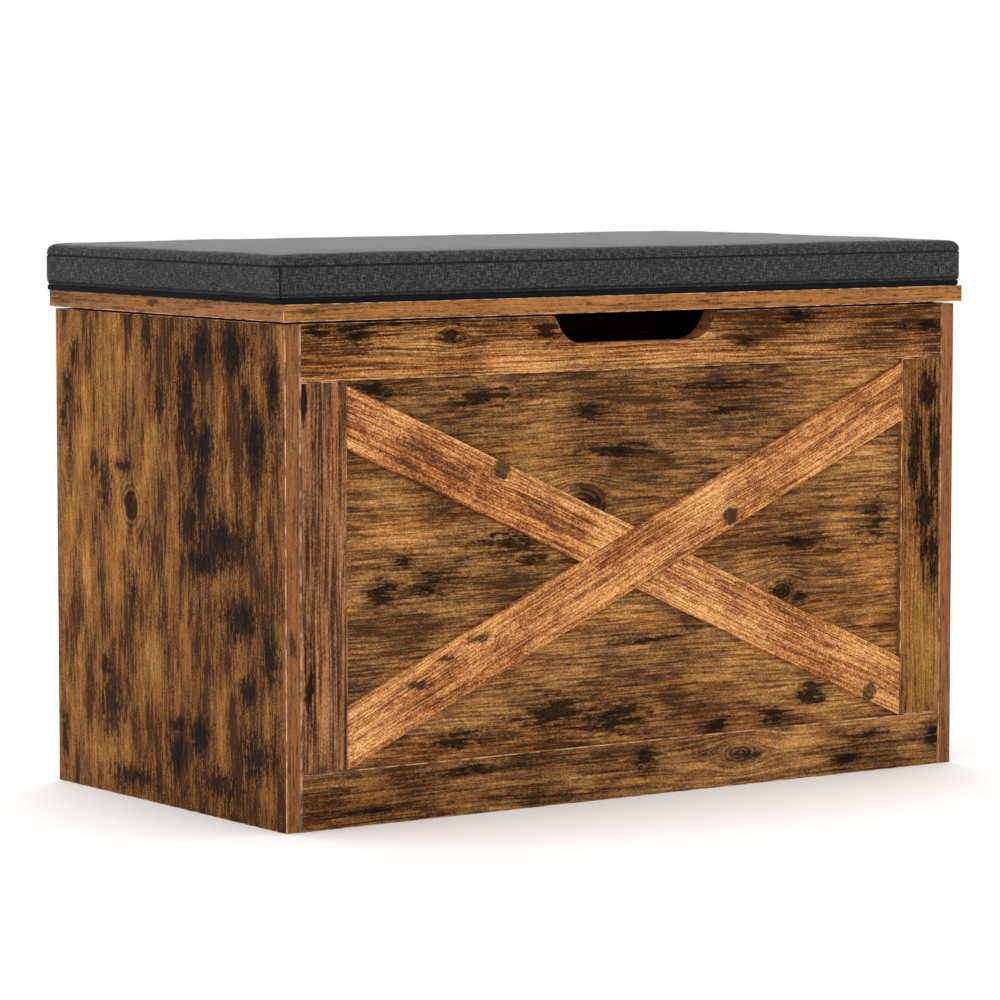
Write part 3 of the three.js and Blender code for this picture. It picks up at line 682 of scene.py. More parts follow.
@dataclass
class Boards:
    """The boards of the chest and the lid, each with its print, eased arrises and edge bands."""

    ease: float = 0.0007
    shortest_arris: float = 0.0026
    corner: float = math.radians(30)
    arris_tone: Tone = (216, 166, 126)

    FACE, ARRIS, FIRST_BAND = 0, 1, 2

    def build(self) -> None:
        """Makes every board."""
        self.arris = self._arris_material()
        self.bands = [
            BandPrint("front_edge_band", Grain.LEVEL, (162, 108, 60), 21.0, LID_EDGE_STAINS).material(),
            BandPrint("end_edge_band", Grain.LEVEL_END, (152, 104, 63), 22.0,
                      (Stain(14, 449, 8, 3, 0.8),)).material(),
            BandPrint("upright_edge_band", Grain.UPRIGHT, (138, 90, 54), 23.0,
                      (Stain(-369, 162, 4, 9, 0.8),)).material()]
        for node, wood in PRINTS.items():
            self._board(node, wood)

    def _arris_material(self) -> bpy.types.Material:
        """The pale line along an eased arris: partly the paler edge where the print is cut through, partly a
        painted highlight for the light that the arris catches.
        """
        sh = Shader("arris")
        x, y, z = sh.coordinates()
        wear_and_glint = sh.noise(x * 90, y * 90, z * 90, 2)
        # Painted highlight: the pale tone stands in partly for light caught on the arris, partly for the cut
        # edge of the print.
        low = scaled(self.arris_tone, 0.52)
        colour = sh.blend(wear_and_glint.ramp(-0.12, 0.14), linear(low), linear(self.arris_tone))
        return sh.finish(Base_Color=colour, Roughness=0.55 + wear_and_glint * 0.2, Specular_IOR_Level=0.1)

    def _board(self, node: str, wood: WoodPrint) -> None:
        """Copies one board, eases its arrises and dresses it.

        Args:
            node: The board's node.
            wood: Its print.
        """
        source = frame["nodes"][node]
        board = bpy.data.objects.new(f"{node}_board", source.data.copy())
        bpy.context.scene.collection.objects.link(board)
        named(board, f"{node}_board")
        low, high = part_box(node)
        thin = min(range(3), key=lambda axis: high[axis] - low[axis])
        activate(board)
        bpy.ops.object.mode_set(mode="EDIT")
        bpy.ops.mesh.select_mode(type="VERT")
        bpy.ops.mesh.select_all(action="SELECT")
        bpy.ops.mesh.remove_doubles(threshold=0.00001)
        bpy.ops.mesh.dissolve_limited(angle_limit=math.radians(0.5))
        bpy.ops.object.mode_set(mode="OBJECT")
        settle(board, source["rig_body"], "brace_board" if "brace" in node else "rustic_board",
               wood.material(), self.arris, *self.bands)
        activate(board)
        bpy.ops.object.mode_set(mode="EDIT")
        self._choose_arrises(board, low[thin], high[thin], thin)
        bpy.ops.mesh.bevel(offset=self.ease, segments=2, affect="EDGES", material=self.ARRIS)
        bpy.ops.object.mode_set(mode="OBJECT")
        self._share_out(board, thin, wood.grain)
        bpy.ops.object.shade_smooth_by_angle(angle=math.radians(20))
        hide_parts(node)

    def _choose_arrises(self, board: bpy.types.Object, near: float, far: float, thin: int) -> None:
        """Selects the edges round both faces of a board and at its corners, but not the rims of small bores.

        Args:
            board: The active mesh, in edit mode.
            near: The first face's place along the thin axis.
            far: The second face's place.
            thin: The number of the thin axis.
        """
        def on_rim(one: Vector, other: Vector) -> bool:
            """Whether an edge lies in one of the two faces and is long enough, or joins them."""
            rise = abs(one[thin] - other[thin])
            level = min(abs(one[thin] - near), abs(one[thin] - far)) < 1e-5 and rise < 1e-5
            return (level and (one - other).length > self.shortest_arris) or rise > (far - near) * 0.9

        choose_edges(board, on_rim)
        bpy.ops.object.mode_set(mode="OBJECT")
        mesh = board.data
        normals: dict[tuple[int, int], list[Vector]] = {}
        for polygon in mesh.polygons:
            for key in polygon.edge_keys:
                normals.setdefault(key, []).append(polygon.normal.copy())
        for edge in mesh.edges:
            sides = normals.get(edge.key, [])
            if edge.select and (len(sides) != 2 or sides[0].angle(sides[1]) < self.corner):
                edge.select = False
        bpy.ops.object.mode_set(mode="EDIT")

    def _share_out(self, board: bpy.types.Object, thin: int, grain: Grain) -> None:
        """Gives each face of a board its print, or the edge band that runs its way.

        Args:
            board: The board, with eased arrises already marked.
            thin: The number of the board's thin axis.
            grain: The way the print runs. A slanting board keeps its print on its edges.
        """
        slanting = grain in (Grain.RISING, Grain.FALLING)
        for polygon in board.data.polygons:
            if polygon.material_index == self.ARRIS and not slanting:
                continue
            sizes = [abs(part) for part in polygon.normal]
            facing = sizes.index(max(sizes))
            if facing == thin or slanting:
                polygon.material_index = self.FACE
            else:
                polygon.material_index = self.FIRST_BAND + 3 - thin - facing


# ------------------------------------------------------------------------------
# Cushion


@dataclass(frozen=True)
class SeatCloth:
    """The cushion's charcoal cloth: two sets of uneven threads, seen close."""

    name: str = "seat_cloth"
    deep: Tone = (14, 14, 15)
    mid: Tone = (36, 36, 37)
    pale: Tone = (98, 98, 99)
    thread_pitch: float = 0.0013
    seam_shade_width: float = 0.0017

    def material(self, seams: tuple[float, ...], middle: Vector, half: Vector) -> bpy.types.Material:
        """Weaves the cloth, and paints shade on it along the level seams and down the corner seams, where the
        grooves lie in shade.

        Args:
            seams: The heights of the level seams, the highest first.
            middle: The middle of the cushion.
            half: Half the cushion's size.

        Returns:
            The cloth.
        """
        sh = Shader(self.name)
        place = sh.cloth_place()
        u, v = sh.along(place, X_AXIS), sh.along(place, Y_AXIS)
        turn = 2 * math.pi / self.thread_pitch
        lean = sh.noise(u * 30, v * 30, 1.0, 1) * 0.0006
        weft = ((v + lean) * turn).sine()
        warp = ((u + lean) * turn).sine()
        slub_up = sh.noise(u * 820, v * 150, 3.0, 1)
        slub_level = sh.noise(u * 150, v * 820, 5.0, 1)
        fuzz = sh.noise(u * 1000, v * 1000, 7.0, 1)
        wear = sh.noise(u * 9, v * 9, 9.0, 2)
        weave = warp * weft * 0.10
        shade = 0.5 + slub_up * 1.0 + slub_level * 0.95 + fuzz * 0.9 + wear * 0.12 + weave
        colour = sh.node("ShaderNodeValToRGB", {"stops": [(0.0, linear(self.deep)), (0.5, linear(self.mid)),
                                                          (1.0, linear(self.pale))]}, {"Fac": shade})
        # Painted shade: the cloth is darkened along the level seams and down the corners, where the seam
        # grooves lie in shade.
        x, y, z = sh.coordinates()
        corner = (((x - middle.x).size() - half.x) - ((y - middle.y).size() - half.y)).size()
        painted_seam_shade = corner.ramp(self.seam_shade_width, self.seam_shade_width * 0.3) * (z - seams[0]).ramp(0.0, -0.001)
        for seam in seams:
            painted_seam_shade = painted_seam_shade.at_least((z - seam).size().ramp(self.seam_shade_width, self.seam_shade_width * 0.3))
        colour = sh.blend(painted_seam_shade * 0.75, colour, linear(self.deep))
        height = slub_up * 0.5 + slub_level * 0.5 + weave * 2.0 + fuzz * 0.3
        return sh.finish(Base_Color=colour, Roughness=0.86 + fuzz * 0.1, Specular_IOR_Level=0.30,
                         Normal=sh.relief(height, 0.0004, 0.7), Sheen_Weight=0.62, Sheen_Roughness=0.19)


@dataclass
class Cushion:
    """The seat cushion: a swollen cover with its seams and stitches, the dark base under it, and its foam."""

    band_height: float = 0.0026
    corner: float = 0.010
    roll: float = 0.0055
    slack: float = 0.0012
    crown_room: float = 0.0042
    voxel: float = 0.006
    cap: float = 0.0045
    pressure: float = 4.0
    swell_steps: int = 20
    out_low: Vector = field(default_factory=lambda: Vector((0.0050, 0.0005, 0.0)))
    out_high: Vector = field(default_factory=lambda: Vector((0.0020, 0.0050, 0.0053)))
    unevenness: float = 0.0012
    base_inset: float = 0.0012
    gap_shade_skirt: float = 0.015
    seam_drop: float = 0.0084
    foot_seam: float = 0.0036
    foot_depth: float = 0.0009
    seam_half: float = 0.0009
    seam_depth: float = 0.0014
    corner_reach: float = 0.02
    stitch_pitch: float = 0.0040
    stitch_length: float = 0.0024
    stitch_radius: float = 0.00026
    base_gap: float = 0.0002
    base_overlap: float = 0.0008
    foam_inset: float = 0.006
    foam_lift: float = 0.001
    foam_room: float = 0.004

    def build(self) -> None:
        """Makes the cushion's pieces."""
        low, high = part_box("cushion_cover")
        self.low, self.high = low - self.out_low, high + self.out_high
        foot = self.low.z + self.band_height + self.foot_seam
        self.seam_height = self.high.z - self.crown_room - self.seam_drop
        self.cloth = SeatCloth().material((self.seam_height, foot), (self.low + self.high) / 2,
                                          (self.high - self.low) / 2)
        self.thread = self._thread()
        self.cover = self._cover()
        self._stitches()
        self._base()
        self._foam()

    def _thread(self) -> bpy.types.Material:
        """Near-black sewing thread."""
        sh = Shader("seam_thread")
        x, y, z = sh.coordinates()
        twist = sh.noise(x * 1500, y * 1500, z * 1500, 1)
        colour = sh.blend(twist.ramp(-0.2, 0.2), linear((14, 14, 15)), linear((30, 30, 31)))
        return sh.finish(Base_Color=colour, Roughness=0.7 + twist * 0.2)

    def _rounded(self, name: str, low: Vector, high: Vector, corner: float, roll: float,
                 foot: float) -> bpy.types.Object:
        """A block with round upright corners, a rolled top edge and an eased bottom edge.

        Args:
            name: The piece's name.
            low: The lowest corner.
            high: The highest corner.
            corner: The radius of the upright corners.
            roll: The radius of the top edge.
            foot: The radius of the bottom edge.

        Returns:
            The block, in object mode.
        """
        block = add_block(name, low, high)
        activate(block)
        bpy.ops.object.mode_set(mode="EDIT")
        choose_edges(block, lambda one, other: abs(one.z - other.z) > (high.z - low.z) * 0.9)
        bpy.ops.mesh.bevel(offset=corner, segments=7, affect="EDGES")
        for level, size in ((high.z, roll), (low.z, foot)):
            choose_edges(block, lambda one, other: abs(one.z - level) < 1e-6 and abs(other.z - level) < 1e-6)
            bpy.ops.mesh.bevel(offset=size, segments=4, affect="EDGES")
        bpy.ops.object.mode_set(mode="OBJECT")
        return block

    def _cover(self) -> bpy.types.Object:
        """The cover, swollen by its filling, with the seam and its groove round the top.

        Returns:
            The finished cover.
        """
        low = self.low + Vector((self.slack, self.slack, self.band_height))
        high = self.high - Vector((self.slack, self.slack, self.crown_room))
        cover = self._rounded("seat_cushion_cover", low, high, self.corner, self.roll, 0.0016)
        activate(cover)
        cover.data.remesh_voxel_size = self.voxel
        bpy.ops.object.voxel_remesh()
        self._swell(cover, low.z)
        activate(cover)
        thicken = cover.modifiers.new("finer", "SUBSURF")
        thicken.levels = thicken.render_levels = 1
        bpy.ops.object.modifier_apply(modifier=thicken.name)
        self._groove(cover, low.z + self.foot_seam, self.foot_depth)
        self._groove(cover, self.seam_height, self.seam_depth)
        self._corner_seams(cover)
        bpy.ops.object.mode_set(mode="EDIT")
        bpy.ops.mesh.select_all(action="SELECT")
        bpy.ops.uv.cube_project(cube_size=1.0, correct_aspect=False, scale_to_bounds=False)
        bpy.ops.object.mode_set(mode="OBJECT")
        bpy.ops.object.shade_smooth()
        settle(cover, "lid", "seat_fabric", self.cloth)
        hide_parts("cushion_cover")
        return cover

    def _swell(self, cover: bpy.types.Object, floor: float) -> None:
        """Blows the cover up like a filled pad, by no more than the cap, and keeps its underside flat.

        Args:
            cover: The remeshed cover.
            floor: The height of its underside.
        """
        rest = [vertex.co.copy() for vertex in cover.data.vertices]
        top = max(point.z for point in rest)
        swell = cover.modifiers.new("swell", "CLOTH")
        swell.settings.use_pressure = True
        swell.settings.uniform_pressure_force = self.pressure
        swell.settings.effector_weights.gravity = 0.0
        swell.point_cache.frame_end = self.swell_steps
        for step in range(1, self.swell_steps + 1):
            bpy.context.scene.frame_set(step)
        bpy.ops.object.modifier_apply(modifier=swell.name)
        bpy.context.scene.frame_set(1)
        middle = (self.low + self.high) / 2
        half = (self.high - self.low) / 2
        for vertex, start in zip(cover.data.vertices, rest):
            move = vertex.co - start
            size = move.length
            if size > 1e-9:
                move *= self.cap * math.tanh(size / self.cap) / size
            point = start + move
            share = 1 - max(abs(point.x - middle.x) / half.x, abs(point.y - middle.y) / half.y) ** 6
            if start.z > top - 0.002:
                point.z = min(start.z + self.crown_room * max(share, 0) ** 0.5, self.high.z)
            wave = noise.noise(start * 11) + 0.5 * noise.noise(start * 31)
            if start.z > floor + 0.002:
                point += vertex.normal * (wave * self.unevenness)
            point.z = min(max(point.z, floor), self.high.z)
            vertex.co = point
        self._fill_out(cover)

    def _fill_out(self, cover: bpy.types.Object) -> None:
        """Stretches the cover sideways until it is as long and as deep as its box."""
        for axis in (0, 1):
            places = [vertex.co[axis] for vertex in cover.data.vertices]
            least, most = min(places), max(places)
            scale = (self.high[axis] - self.low[axis]) / (most - least)
            for vertex in cover.data.vertices:
                vertex.co[axis] = self.low[axis] + (vertex.co[axis] - least) * scale

    def _groove(self, cover: bpy.types.Object, height: float, depth: float) -> None:
        """Sinks a narrow groove all round the cover, where two panels are sewn together.

        Args:
            cover: The cover.
            height: The groove's height.
            depth: How deep it is.
        """
        bpy.ops.object.mode_set(mode="EDIT")
        for offset in (self.seam_half, -self.seam_half, 0.0):
            bpy.ops.mesh.select_all(action="SELECT")
            bpy.ops.mesh.bisect(plane_co=(0, 0, height + offset), plane_no=(0, 0, 1))
        bpy.ops.transform.shrink_fatten(value=-depth)
        bpy.ops.object.mode_set(mode="OBJECT")

    def _corner_seams(self, cover: bpy.types.Object) -> None:
        """Sinks an upright groove in the border at each corner, where its strips are sewn together."""
        for x in (self.low.x, self.high.x):
            for y in (self.low.y, self.high.y):
                corner = Vector((x, y, 0))
                along = Z_AXIS.cross(Vector((math.copysign(1, x), math.copysign(1, y), 0)).normalized())
                bpy.ops.object.mode_set(mode="EDIT")
                for offset in (self.seam_half, -self.seam_half, 0.0):
                    choose_faces(cover, lambda middle: middle.z < self.seam_height and
                                 (middle.xy - corner.xy).length < self.corner_reach)
                    bpy.ops.mesh.bisect(plane_co=corner + along * offset, plane_no=along)
                bpy.ops.transform.shrink_fatten(value=-self.seam_depth)
                bpy.ops.object.mode_set(mode="OBJECT")

    def _path(self) -> list[tuple[Vector, Vector]]:
        """Points at the stitches' pitch round the cushion's outline.

        Returns:
            Pairs of a place and its outward direction.
        """
        low, high, radius = self.low, self.high, self.corner
        steps: list[tuple[Vector, Vector]] = []
        corners = ((high.x, high.y), (low.x, high.y), (low.x, low.y), (high.x, low.y))
        hubs = [Vector((x - math.copysign(radius, x), y - math.copysign(radius, y), self.seam_height))
                for x, y in corners]
        for number, hub in enumerate(hubs):
            turns = max(2, round(radius * math.pi / 2 / self.stitch_pitch))
            for turn in range(turns):
                out = self._outward(90 * number + 90 * (turn + 0.5) / turns)
                steps.append((hub + out * radius, out))
            end, out = hubs[(number + 1) % 4], self._outward(90 * number + 90)
            count = round((end - hub).length / self.stitch_pitch)
            for step in range(count):
                steps.append((hub.lerp(end, (step + 0.5) / count) + out * radius, out))
        return steps

    @staticmethod
    def _outward(angle: float) -> Vector:
        """The level direction at an angle from X, in degrees."""
        return Vector((math.cos(math.radians(angle)), math.sin(math.radians(angle)), 0))

    def _stitches(self) -> None:
        """Lays a stitch in the seam at every pitch, each a short rounded bar of thread, as one piece."""
        tree = BVHTree.FromObject(self.cover, bpy.context.evaluated_depsgraph_get())
        bpy.ops.object.select_all(action="DESELECT")
        bpy.ops.mesh.primitive_cylinder_add(vertices=6, radius=self.stitch_radius,
                                            depth=self.stitch_length, rotation=(math.pi / 2, 0, 0))
        bar = bpy.context.object
        bpy.ops.object.transform_apply(location=True, rotation=True, scale=True)
        bpy.ops.object.mode_set(mode="EDIT")
        bpy.ops.mesh.select_all(action="SELECT")
        choose_edges(bar, lambda one, other: abs(one.y - other.y) < 1e-7)
        bpy.ops.mesh.bevel(offset=self.stitch_radius * 0.5, segments=1, affect="EDGES")
        bpy.ops.object.mode_set(mode="OBJECT")
        points = [vertex.co.copy() for vertex in bar.data.vertices]
        faces = [tuple(polygon.vertices) for polygon in bar.data.polygons]
        bpy.data.objects.remove(bar)
        corners: list[Vector] = []
        loops: list[tuple[int, ...]] = []
        for at, out in self._path():
            hit = tree.ray_cast(at + out * 0.02, -out, 0.05)[0]
            middle = (hit if hit is not None else at) + out * self.stitch_radius * 0.5
            tangent = Z_AXIS.cross(out)
            base = len(corners)
            corners += [middle + out * p.x + tangent * p.y + Z_AXIS * p.z for p in points]
            loops += [tuple(base + index for index in face) for face in faces]
        mesh = bpy.data.meshes.new("seam_stitches")
        mesh.from_pydata(corners, [], loops)
        mesh.update()
        stitches = bpy.data.objects.new("seam_stitches", mesh)
        bpy.context.scene.collection.objects.link(stitches)
        activate(stitches)
        bpy.ops.object.mode_set(mode="EDIT")
        bpy.ops.mesh.select_all(action="SELECT")
        bpy.ops.mesh.normals_make_consistent(inside=False)
        bpy.ops.object.mode_set(mode="OBJECT")
        bpy.ops.object.shade_smooth()
        settle(stitches, "lid", "seat_fabric", self.thread)

    def _base(self) -> None:
        """The dark cloth that closes the cover's underside and shows as a band along its foot; its skirt
        fills the gap down to the lid with painted shade.
        """
        sh = Shader("base_cloth_finish")
        x, y, z = sh.coordinates()
        felt = sh.noise(x * 900, y * 900, z * 900, 2)
        # The near-black tone is partly the base cloth's own colour and partly painted shade for the shadowed
        # gap between the cushion and the lid.
        colour = sh.blend(felt.ramp(-0.2, 0.25), linear((9, 9, 10)), linear((24, 24, 25)))
        cloth = sh.finish(Base_Color=colour, Roughness=0.88 + felt * 0.1, Normal=sh.relief(felt, 0.0003),
                          Specular_IOR_Level=0.1)
        inset = self.base_inset
        lid_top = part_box("lid_board")[1].z
        low = Vector((self.low.x + inset, self.low.y + inset, lid_top + self.base_gap))
        high = Vector((self.high.x - inset, self.high.y - inset,
                       self.low.z + self.band_height + self.base_overlap))
        base = self._rounded("cushion_base", low, high, self.corner, 0.0010, 0.0014)
        bpy.ops.object.mode_set(mode="EDIT")
        choose_faces(base, lambda middle: middle.z < low.z + 1e-5)
        bpy.ops.mesh.inset(thickness=self.gap_shade_skirt)
        bpy.ops.transform.translate(value=(0, 0, self.low.z + 0.0001 - low.z))
        bpy.ops.object.mode_set(mode="OBJECT")
        bpy.ops.object.shade_smooth_by_angle(angle=math.radians(40))
        settle(base, "lid", "base_cloth", cloth)
        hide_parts("cushion_base_cloth")

    def _foam(self) -> None:
        """The foam slab inside, with eased edges and open pores whose pits are painted darker as shade."""
        sh = Shader("foam_finish")
        pores = sh.node("ShaderNodeTexVoronoi", None, {"Vector": sh.place(), "Scale": 900.0}, "Distance")
        x, y, z = sh.coordinates()
        patch = sh.noise(x * 20, y * 20, z * 20, 2)
        colour = sh.blend(patch.ramp(-0.2, 0.2), linear((214, 196, 140)), linear((232, 219, 172)))
        # Painted shade: the pore pits are darkened where shade falls in them.
        colour = sh.blend(pores.ramp(0.45, 0.1) * 0.5, colour, linear((150, 128, 84)))
        finish = sh.finish(Base_Color=colour, Roughness=0.9 + patch * 0.1, Normal=sh.relief(pores, 0.0005))
        low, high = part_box("cushion_foam")
        low = low + Vector((self.foam_inset, self.foam_inset, self.band_height + self.foam_lift))
        high = high - Vector((self.foam_inset, self.foam_inset, self.foam_room))
        foam = self._rounded("cushion_foam_slab", low, high, self.corner, 0.004, 0.002)
        settle(foam, "lid", "foam", finish)
        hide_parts("cushion_foam")


# ------------------------------------------------------------------------------
# Fittings


@dataclass(frozen=True)
class Metal:
    """A plated metal with fine brushing and a few dull spots."""

    name: str
    tone: Tone
    roughness: float
    brushing: Vector

    def material(self) -> bpy.types.Material:
        """Plates it."""
        sh = Shader(self.name)
        x, y, z = sh.coordinates()
        scratch = sh.noise(x * self.brushing.x, y * self.brushing.y, z * self.brushing.z, 2)
        bloom = sh.noise(x * 60, y * 60, z * 60, 3)
        colour = sh.blend(bloom.ramp(-0.25, 0.1), linear(scaled(self.tone, 0.72)), linear(self.tone))
        return sh.finish(Base_Color=colour, Metallic=1.0, Normal=sh.relief(scratch, 0.00008),
                         Roughness=self.roughness + scratch * 0.25 - bloom * 0.2)


@dataclass(frozen=True)
class Moulding:
    """A moulded plastic or rubber with a fine spark texture."""

    name: str
    tone: Tone
    roughness: float
    spark: float

    def material(self) -> bpy.types.Material:
        """Moulds it."""
        sh = Shader(self.name)
        x, y, z = sh.coordinates()
        grain = sh.noise(x * self.spark, y * self.spark, z * self.spark, 2)
        colour = sh.blend(grain.ramp(-0.2, 0.3), linear(self.tone), linear(scaled(self.tone, 1.35)))
        return sh.finish(Base_Color=colour, Roughness=self.roughness + grain * 0.15,
                         Normal=sh.relief(grain, 0.00012))


@dataclass(frozen=True)
class HookTape:
    """Hook or loop tape: rows of tiny tufts on a woven ground, with painted light on the tufts and painted
    shade between them.
    """

    name: str
    tone: Tone
    pitch: float

    def material(self) -> bpy.types.Material:
        """Weaves it."""
        sh = Shader(self.name)
        tufts = sh.node("ShaderNodeTexVoronoi", None, {"Vector": sh.place(), "Scale": 1 / self.pitch},
                        "Distance")
        # Painted light and shade: the raised tufts are painted lighter and the ground between them darker.
        colour = sh.blend(tufts.ramp(0.6, 0.1), linear(self.tone), linear(scaled(self.tone, 1.6)))
        return sh.finish(Base_Color=colour, Roughness=0.8 - tufts * 0.1,
                         Normal=sh.relief(1 - tufts, 0.0006))


@dataclass
class Screws:
    """The countersunk cross-head screws of the hinges, the stay housings and the lid brackets."""

    head_radius: float = 0.0036
    head_height: float = 0.0014
    shank_radius: float = 0.0018
    length: float = 0.0130
    tip: float = 0.0030
    recess_length: float = 0.0036
    recess_width: float = 0.0008
    recess_depth: float = 0.0010
    proud: float = 0.0002
    hinge_pitch: float = 0.020
    body_leaf_drop: float = 0.0192
    lid_leaf_step: float = 0.0224
    leaf_thickness: float = 0.0015
    bracket_middle: float = 0.3365
    flange_thickness: float = 0.002
    bracket_spread: float = 0.014
    housing_depth: float = 0.012
    housing_low: Vector = field(default_factory=lambda: Vector((0, 0, -0.0215)))
    housing_high: Vector = field(default_factory=lambda: Vector((0, 0.0105, 0.0150)))

    def build(self, steel: bpy.types.Material) -> None:
        """Drives every screw.

        Args:
            steel: The plated steel of the screws.
        """
        self.steel = steel
        self.model = self._screw()
        for side in ("left", "right"):
            self._hinge(side)
            self._stay(side)
        bpy.data.objects.remove(self.model)

    def _screw(self) -> bpy.types.Object:
        """One screw, standing on its tip with the top of its head at the origin.

        Returns:
            The screw that the others are copied from.
        """
        bpy.ops.object.select_all(action="DESELECT")
        middle = -self.head_height - self.length / 2
        bpy.ops.mesh.primitive_cylinder_add(vertices=16, radius=self.shank_radius, depth=self.length,
                                            location=(0, 0, middle))
        screw = bpy.context.object
        bpy.ops.object.transform_apply(location=True, rotation=True, scale=True)
        bpy.ops.object.mode_set(mode="EDIT")
        growth = self.head_radius / self.shank_radius
        choose_faces(screw, lambda at: at.z > -self.head_height - 1e-6)
        bpy.ops.mesh.extrude_region_move(TRANSFORM_OT_translate={"value": (0, 0, self.head_height * 0.8)})
        bpy.ops.transform.resize(value=(growth, growth, 1))
        bpy.ops.mesh.extrude_region_move(TRANSFORM_OT_translate={"value": (0, 0, self.head_height * 0.2)})
        bpy.ops.transform.resize(value=(0.94, 0.94, 1))
        choose_faces(screw, lambda at: at.z < -self.head_height - self.length + 1e-6)
        bpy.ops.mesh.extrude_region_move(TRANSFORM_OT_translate={"value": (0, 0, -self.tip)})
        bpy.ops.transform.resize(value=(0.15, 0.15, 1))
        bpy.ops.object.mode_set(mode="OBJECT")
        for long_axis in (0, 1):
            half = Vector((self.recess_width, self.recess_width, self.recess_depth * 2)) / 2
            half[long_axis] = self.recess_length / 2
            cutter = add_block("recess", -half, half)
            activate(screw)
            cut = screw.modifiers.new("recess", "BOOLEAN")
            cut.operation = "DIFFERENCE"
            cut.object = cutter
            bpy.ops.object.modifier_apply(modifier=cut.name)
            bpy.data.objects.remove(cutter)
        return screw

    def _drive(self, name: str, body: str, place: Vector, facing: Vector, turn: float) -> None:
        """Copies the screw into a hole.

        Args:
            name: The copy's name.
            body: The body that it rides on.
            place: The middle of the hole's mouth.
            facing: The way that the head faces.
            turn: How far the recess is turned.
        """
        mesh = self.model.data.copy()
        upright = facing.to_track_quat("Z", "Y").to_matrix().to_4x4()
        at = Matrix.Translation(place + facing * self.proud)
        mesh.transform(at @ upright @ Matrix.Rotation(turn, 4, "Z"))
        copy = bpy.data.objects.new(name, mesh)
        bpy.context.scene.collection.objects.link(copy)
        named(copy, name)
        activate(copy)
        bpy.ops.object.shade_smooth_by_angle(angle=math.radians(25))
        settle(copy, body, "steel", self.steel)

    def _hinge(self, side: str) -> None:
        """Drives the six screws of one hinge: three through each leaf."""
        low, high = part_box(f"{side}_hinge_pin")
        pin = (low + high) / 2
        body_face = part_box(f"{side}_hinge_body_leaf")[0].y + self.leaf_thickness
        lid_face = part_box(f"{side}_hinge_lid_leaf")[1].z - self.leaf_thickness
        for number in range(3):
            x = pin.x + (number - 1) * self.hinge_pitch
            self._drive(f"{side}_body_leaf_screw_{number + 1}", "carcass",
                        Vector((x, body_face, pin.z - self.body_leaf_drop)), Y_AXIS, 0.4 + number)
            self._drive(f"{side}_lid_leaf_screw_{number + 1}", "lid",
                        Vector((x, pin.y - self.lid_leaf_step, lid_face)), -Z_AXIS, 0.9 + number)

    def _stay(self, side: str) -> None:
        """Drives two screws through a stay's housing, and two through its lid bracket's flange."""
        inward, wall = (X_AXIS, 0) if side == "left" else (-X_AXIS, 1)
        low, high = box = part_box(f"{side}_stay_housing")
        middle = Vector((box[wall].x, (low.y + high.y) / 2, (low.z + high.z) / 2))
        middle = middle + inward * self.housing_depth
        for number, offset in enumerate((self.housing_low, self.housing_high)):
            self._drive(f"{side}_housing_screw_{number + 1}", "carcass", middle + offset, inward,
                        0.5 + number)
        low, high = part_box(f"{side}_lid_bracket")
        flange = Vector((-inward.x * self.bracket_middle, (low.y + high.y) / 2,
                         high.z - self.flange_thickness))
        for number, way in enumerate((-1, 1)):
            self._drive(f"{side}_bracket_screw_{number + 1}", "lid",
                        flange + Y_AXIS * (way * self.bracket_spread), -Z_AXIS, 0.2 + number)


@dataclass
class Fittings:
    """The hardware and the small parts whose shape is already right: each gets its finish."""

    def dress(self) -> None:
        """Gives every fitting its material."""
        steel = Metal("zinc_plated_steel", (168, 170, 174), 0.36, Vector((40, 900, 900))).material()
        zinc = Metal("cast_zinc", (150, 152, 156), 0.42, Vector((300, 300, 300))).material()
        plastic = Moulding("black_plastic_finish", (24, 24, 26), 0.5, 1100).material()
        rubber = Moulding("rubber_finish", (58, 56, 54), 0.75, 700).material()
        hook = HookTape("hook_tape_finish", (20, 20, 22), 0.0012).material()
        timber = WoodPrint("cleat_timber", Grain.FLAT, TIMBER_TONES, 31.0, lines=0.8, bands=0.7, drift=0.6,
                           clouds=0.0, flecks=0.1, red=0.2).material()
        by_word = (("cam", zinc), ("hinge", steel), ("stay_housing", plastic), ("stay", steel),
                   ("rivet", steel), ("bracket", steel), ("bumper", rubber), ("strip", hook),
                   ("cleat", timber))
        for name, node in frame["nodes"].items():
            if node.hide_render:
                continue
            for word, material in by_word:
                if word in name:
                    node.data.materials.clear()
                    node.data.materials.append(material)
                    LOG.info("%s gets %s", name, material.name)
                    break
            else:
                LOG.warning("%s has no finish", name)
        Screws().build(steel)


# ------------------------------------------------------------------------------
# Studio


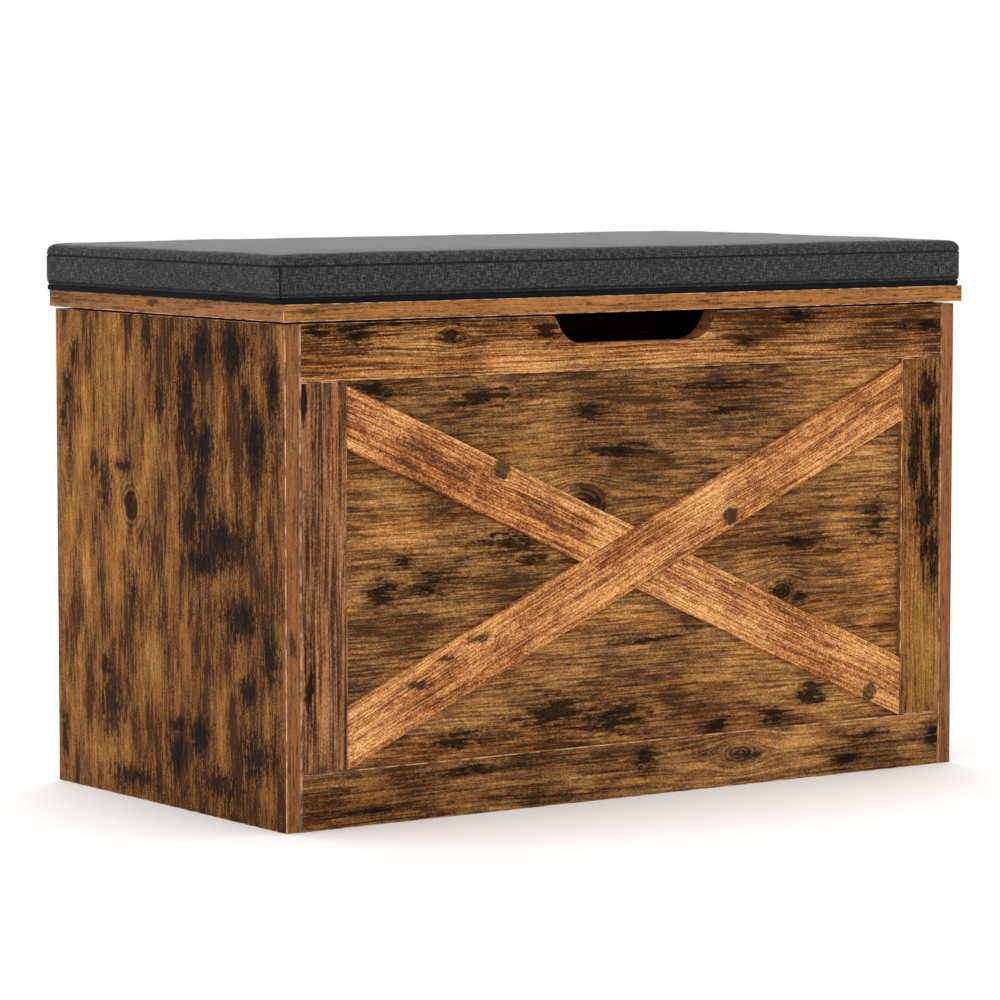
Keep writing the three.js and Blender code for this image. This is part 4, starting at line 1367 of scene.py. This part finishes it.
@dataclass
class Studio:
    """A pale floor, a white surround, soft lights and the camera."""

    camera_place: Vector = field(default_factory=lambda: Vector((-2.43086, -3.41857, 0.61751)))
    yaw: float = 0.615791
    dip: float = 0.086017
    lens: float = 161.748
    surround: float = 1.0
    floor_half: float = 20.0

    def build(self) -> None:
        """Sets the stage."""
        self._camera()
        self._surround()
        self._floor()
        self._light("overhead", Vector((0.2, 0.9, 3.2)), Vector((0, 0, 0.3)), 3.0, 55)
        self._light("front_key", Vector((0.6, -4.2, 1.8)), Vector((0, 0, 0.2)), 2.2, 12)
        bpy.context.scene.view_settings.view_transform = "Standard"

    def _camera(self) -> None:
        """Places the camera."""
        data = bpy.data.cameras.new("camera")
        data.lens = self.lens
        data.sensor_width = 36.0
        data.clip_end = 100.0
        camera = bpy.data.objects.new("camera", data)
        level = math.cos(self.dip)
        gaze = Vector((math.sin(self.yaw) * level, math.cos(self.yaw) * level, -math.sin(self.dip)))
        camera.location = self.camera_place
        camera.rotation_euler = gaze.to_track_quat("-Z", "Y").to_euler()
        bpy.context.scene.collection.objects.link(camera)
        bpy.context.scene.camera = camera

    def _surround(self) -> None:
        """Makes the white surround."""
        world = bpy.data.worlds.new("studio")
        world.use_nodes = True
        sky = world.node_tree.nodes["Background"]
        sky.inputs["Color"].default_value = (1, 1, 1, 1)
        sky.inputs["Strength"].default_value = self.surround
        bpy.context.scene.world = world

    def _floor(self) -> None:
        """Lays the floor."""
        bpy.ops.object.select_all(action="DESELECT")
        bpy.ops.mesh.primitive_plane_add(size=self.floor_half * 2)
        floor = named(bpy.context.object, "floor")
        sh = Shader("floor_finish")
        sh.finish(Base_Color=linear((254, 254, 254)), Roughness=0.9)
        floor.data.materials.append(sh.material)

    def _light(self, name: str, place: Vector, aim: Vector, size: float, power: float) -> None:
        """Hangs one square soft light."""
        data = bpy.data.lights.new(name, "AREA")
        data.size = size
        data.energy = power
        lamp = bpy.data.objects.new(name, data)
        lamp.location = place
        lamp.rotation_euler = (aim - place).to_track_quat("-Z", "Y").to_euler()
        bpy.context.scene.collection.objects.link(lamp)


def main() -> None:
    """Builds the bench's looks in order."""
    logging.basicConfig(level=logging.INFO, format="%(message)s")
    bpy.ops.object.select_all(action="DESELECT")
    Studio().build()
    Boards().build()
    Cushion().build()
    Fittings().dress()


if __name__ == "__main__":
    main()
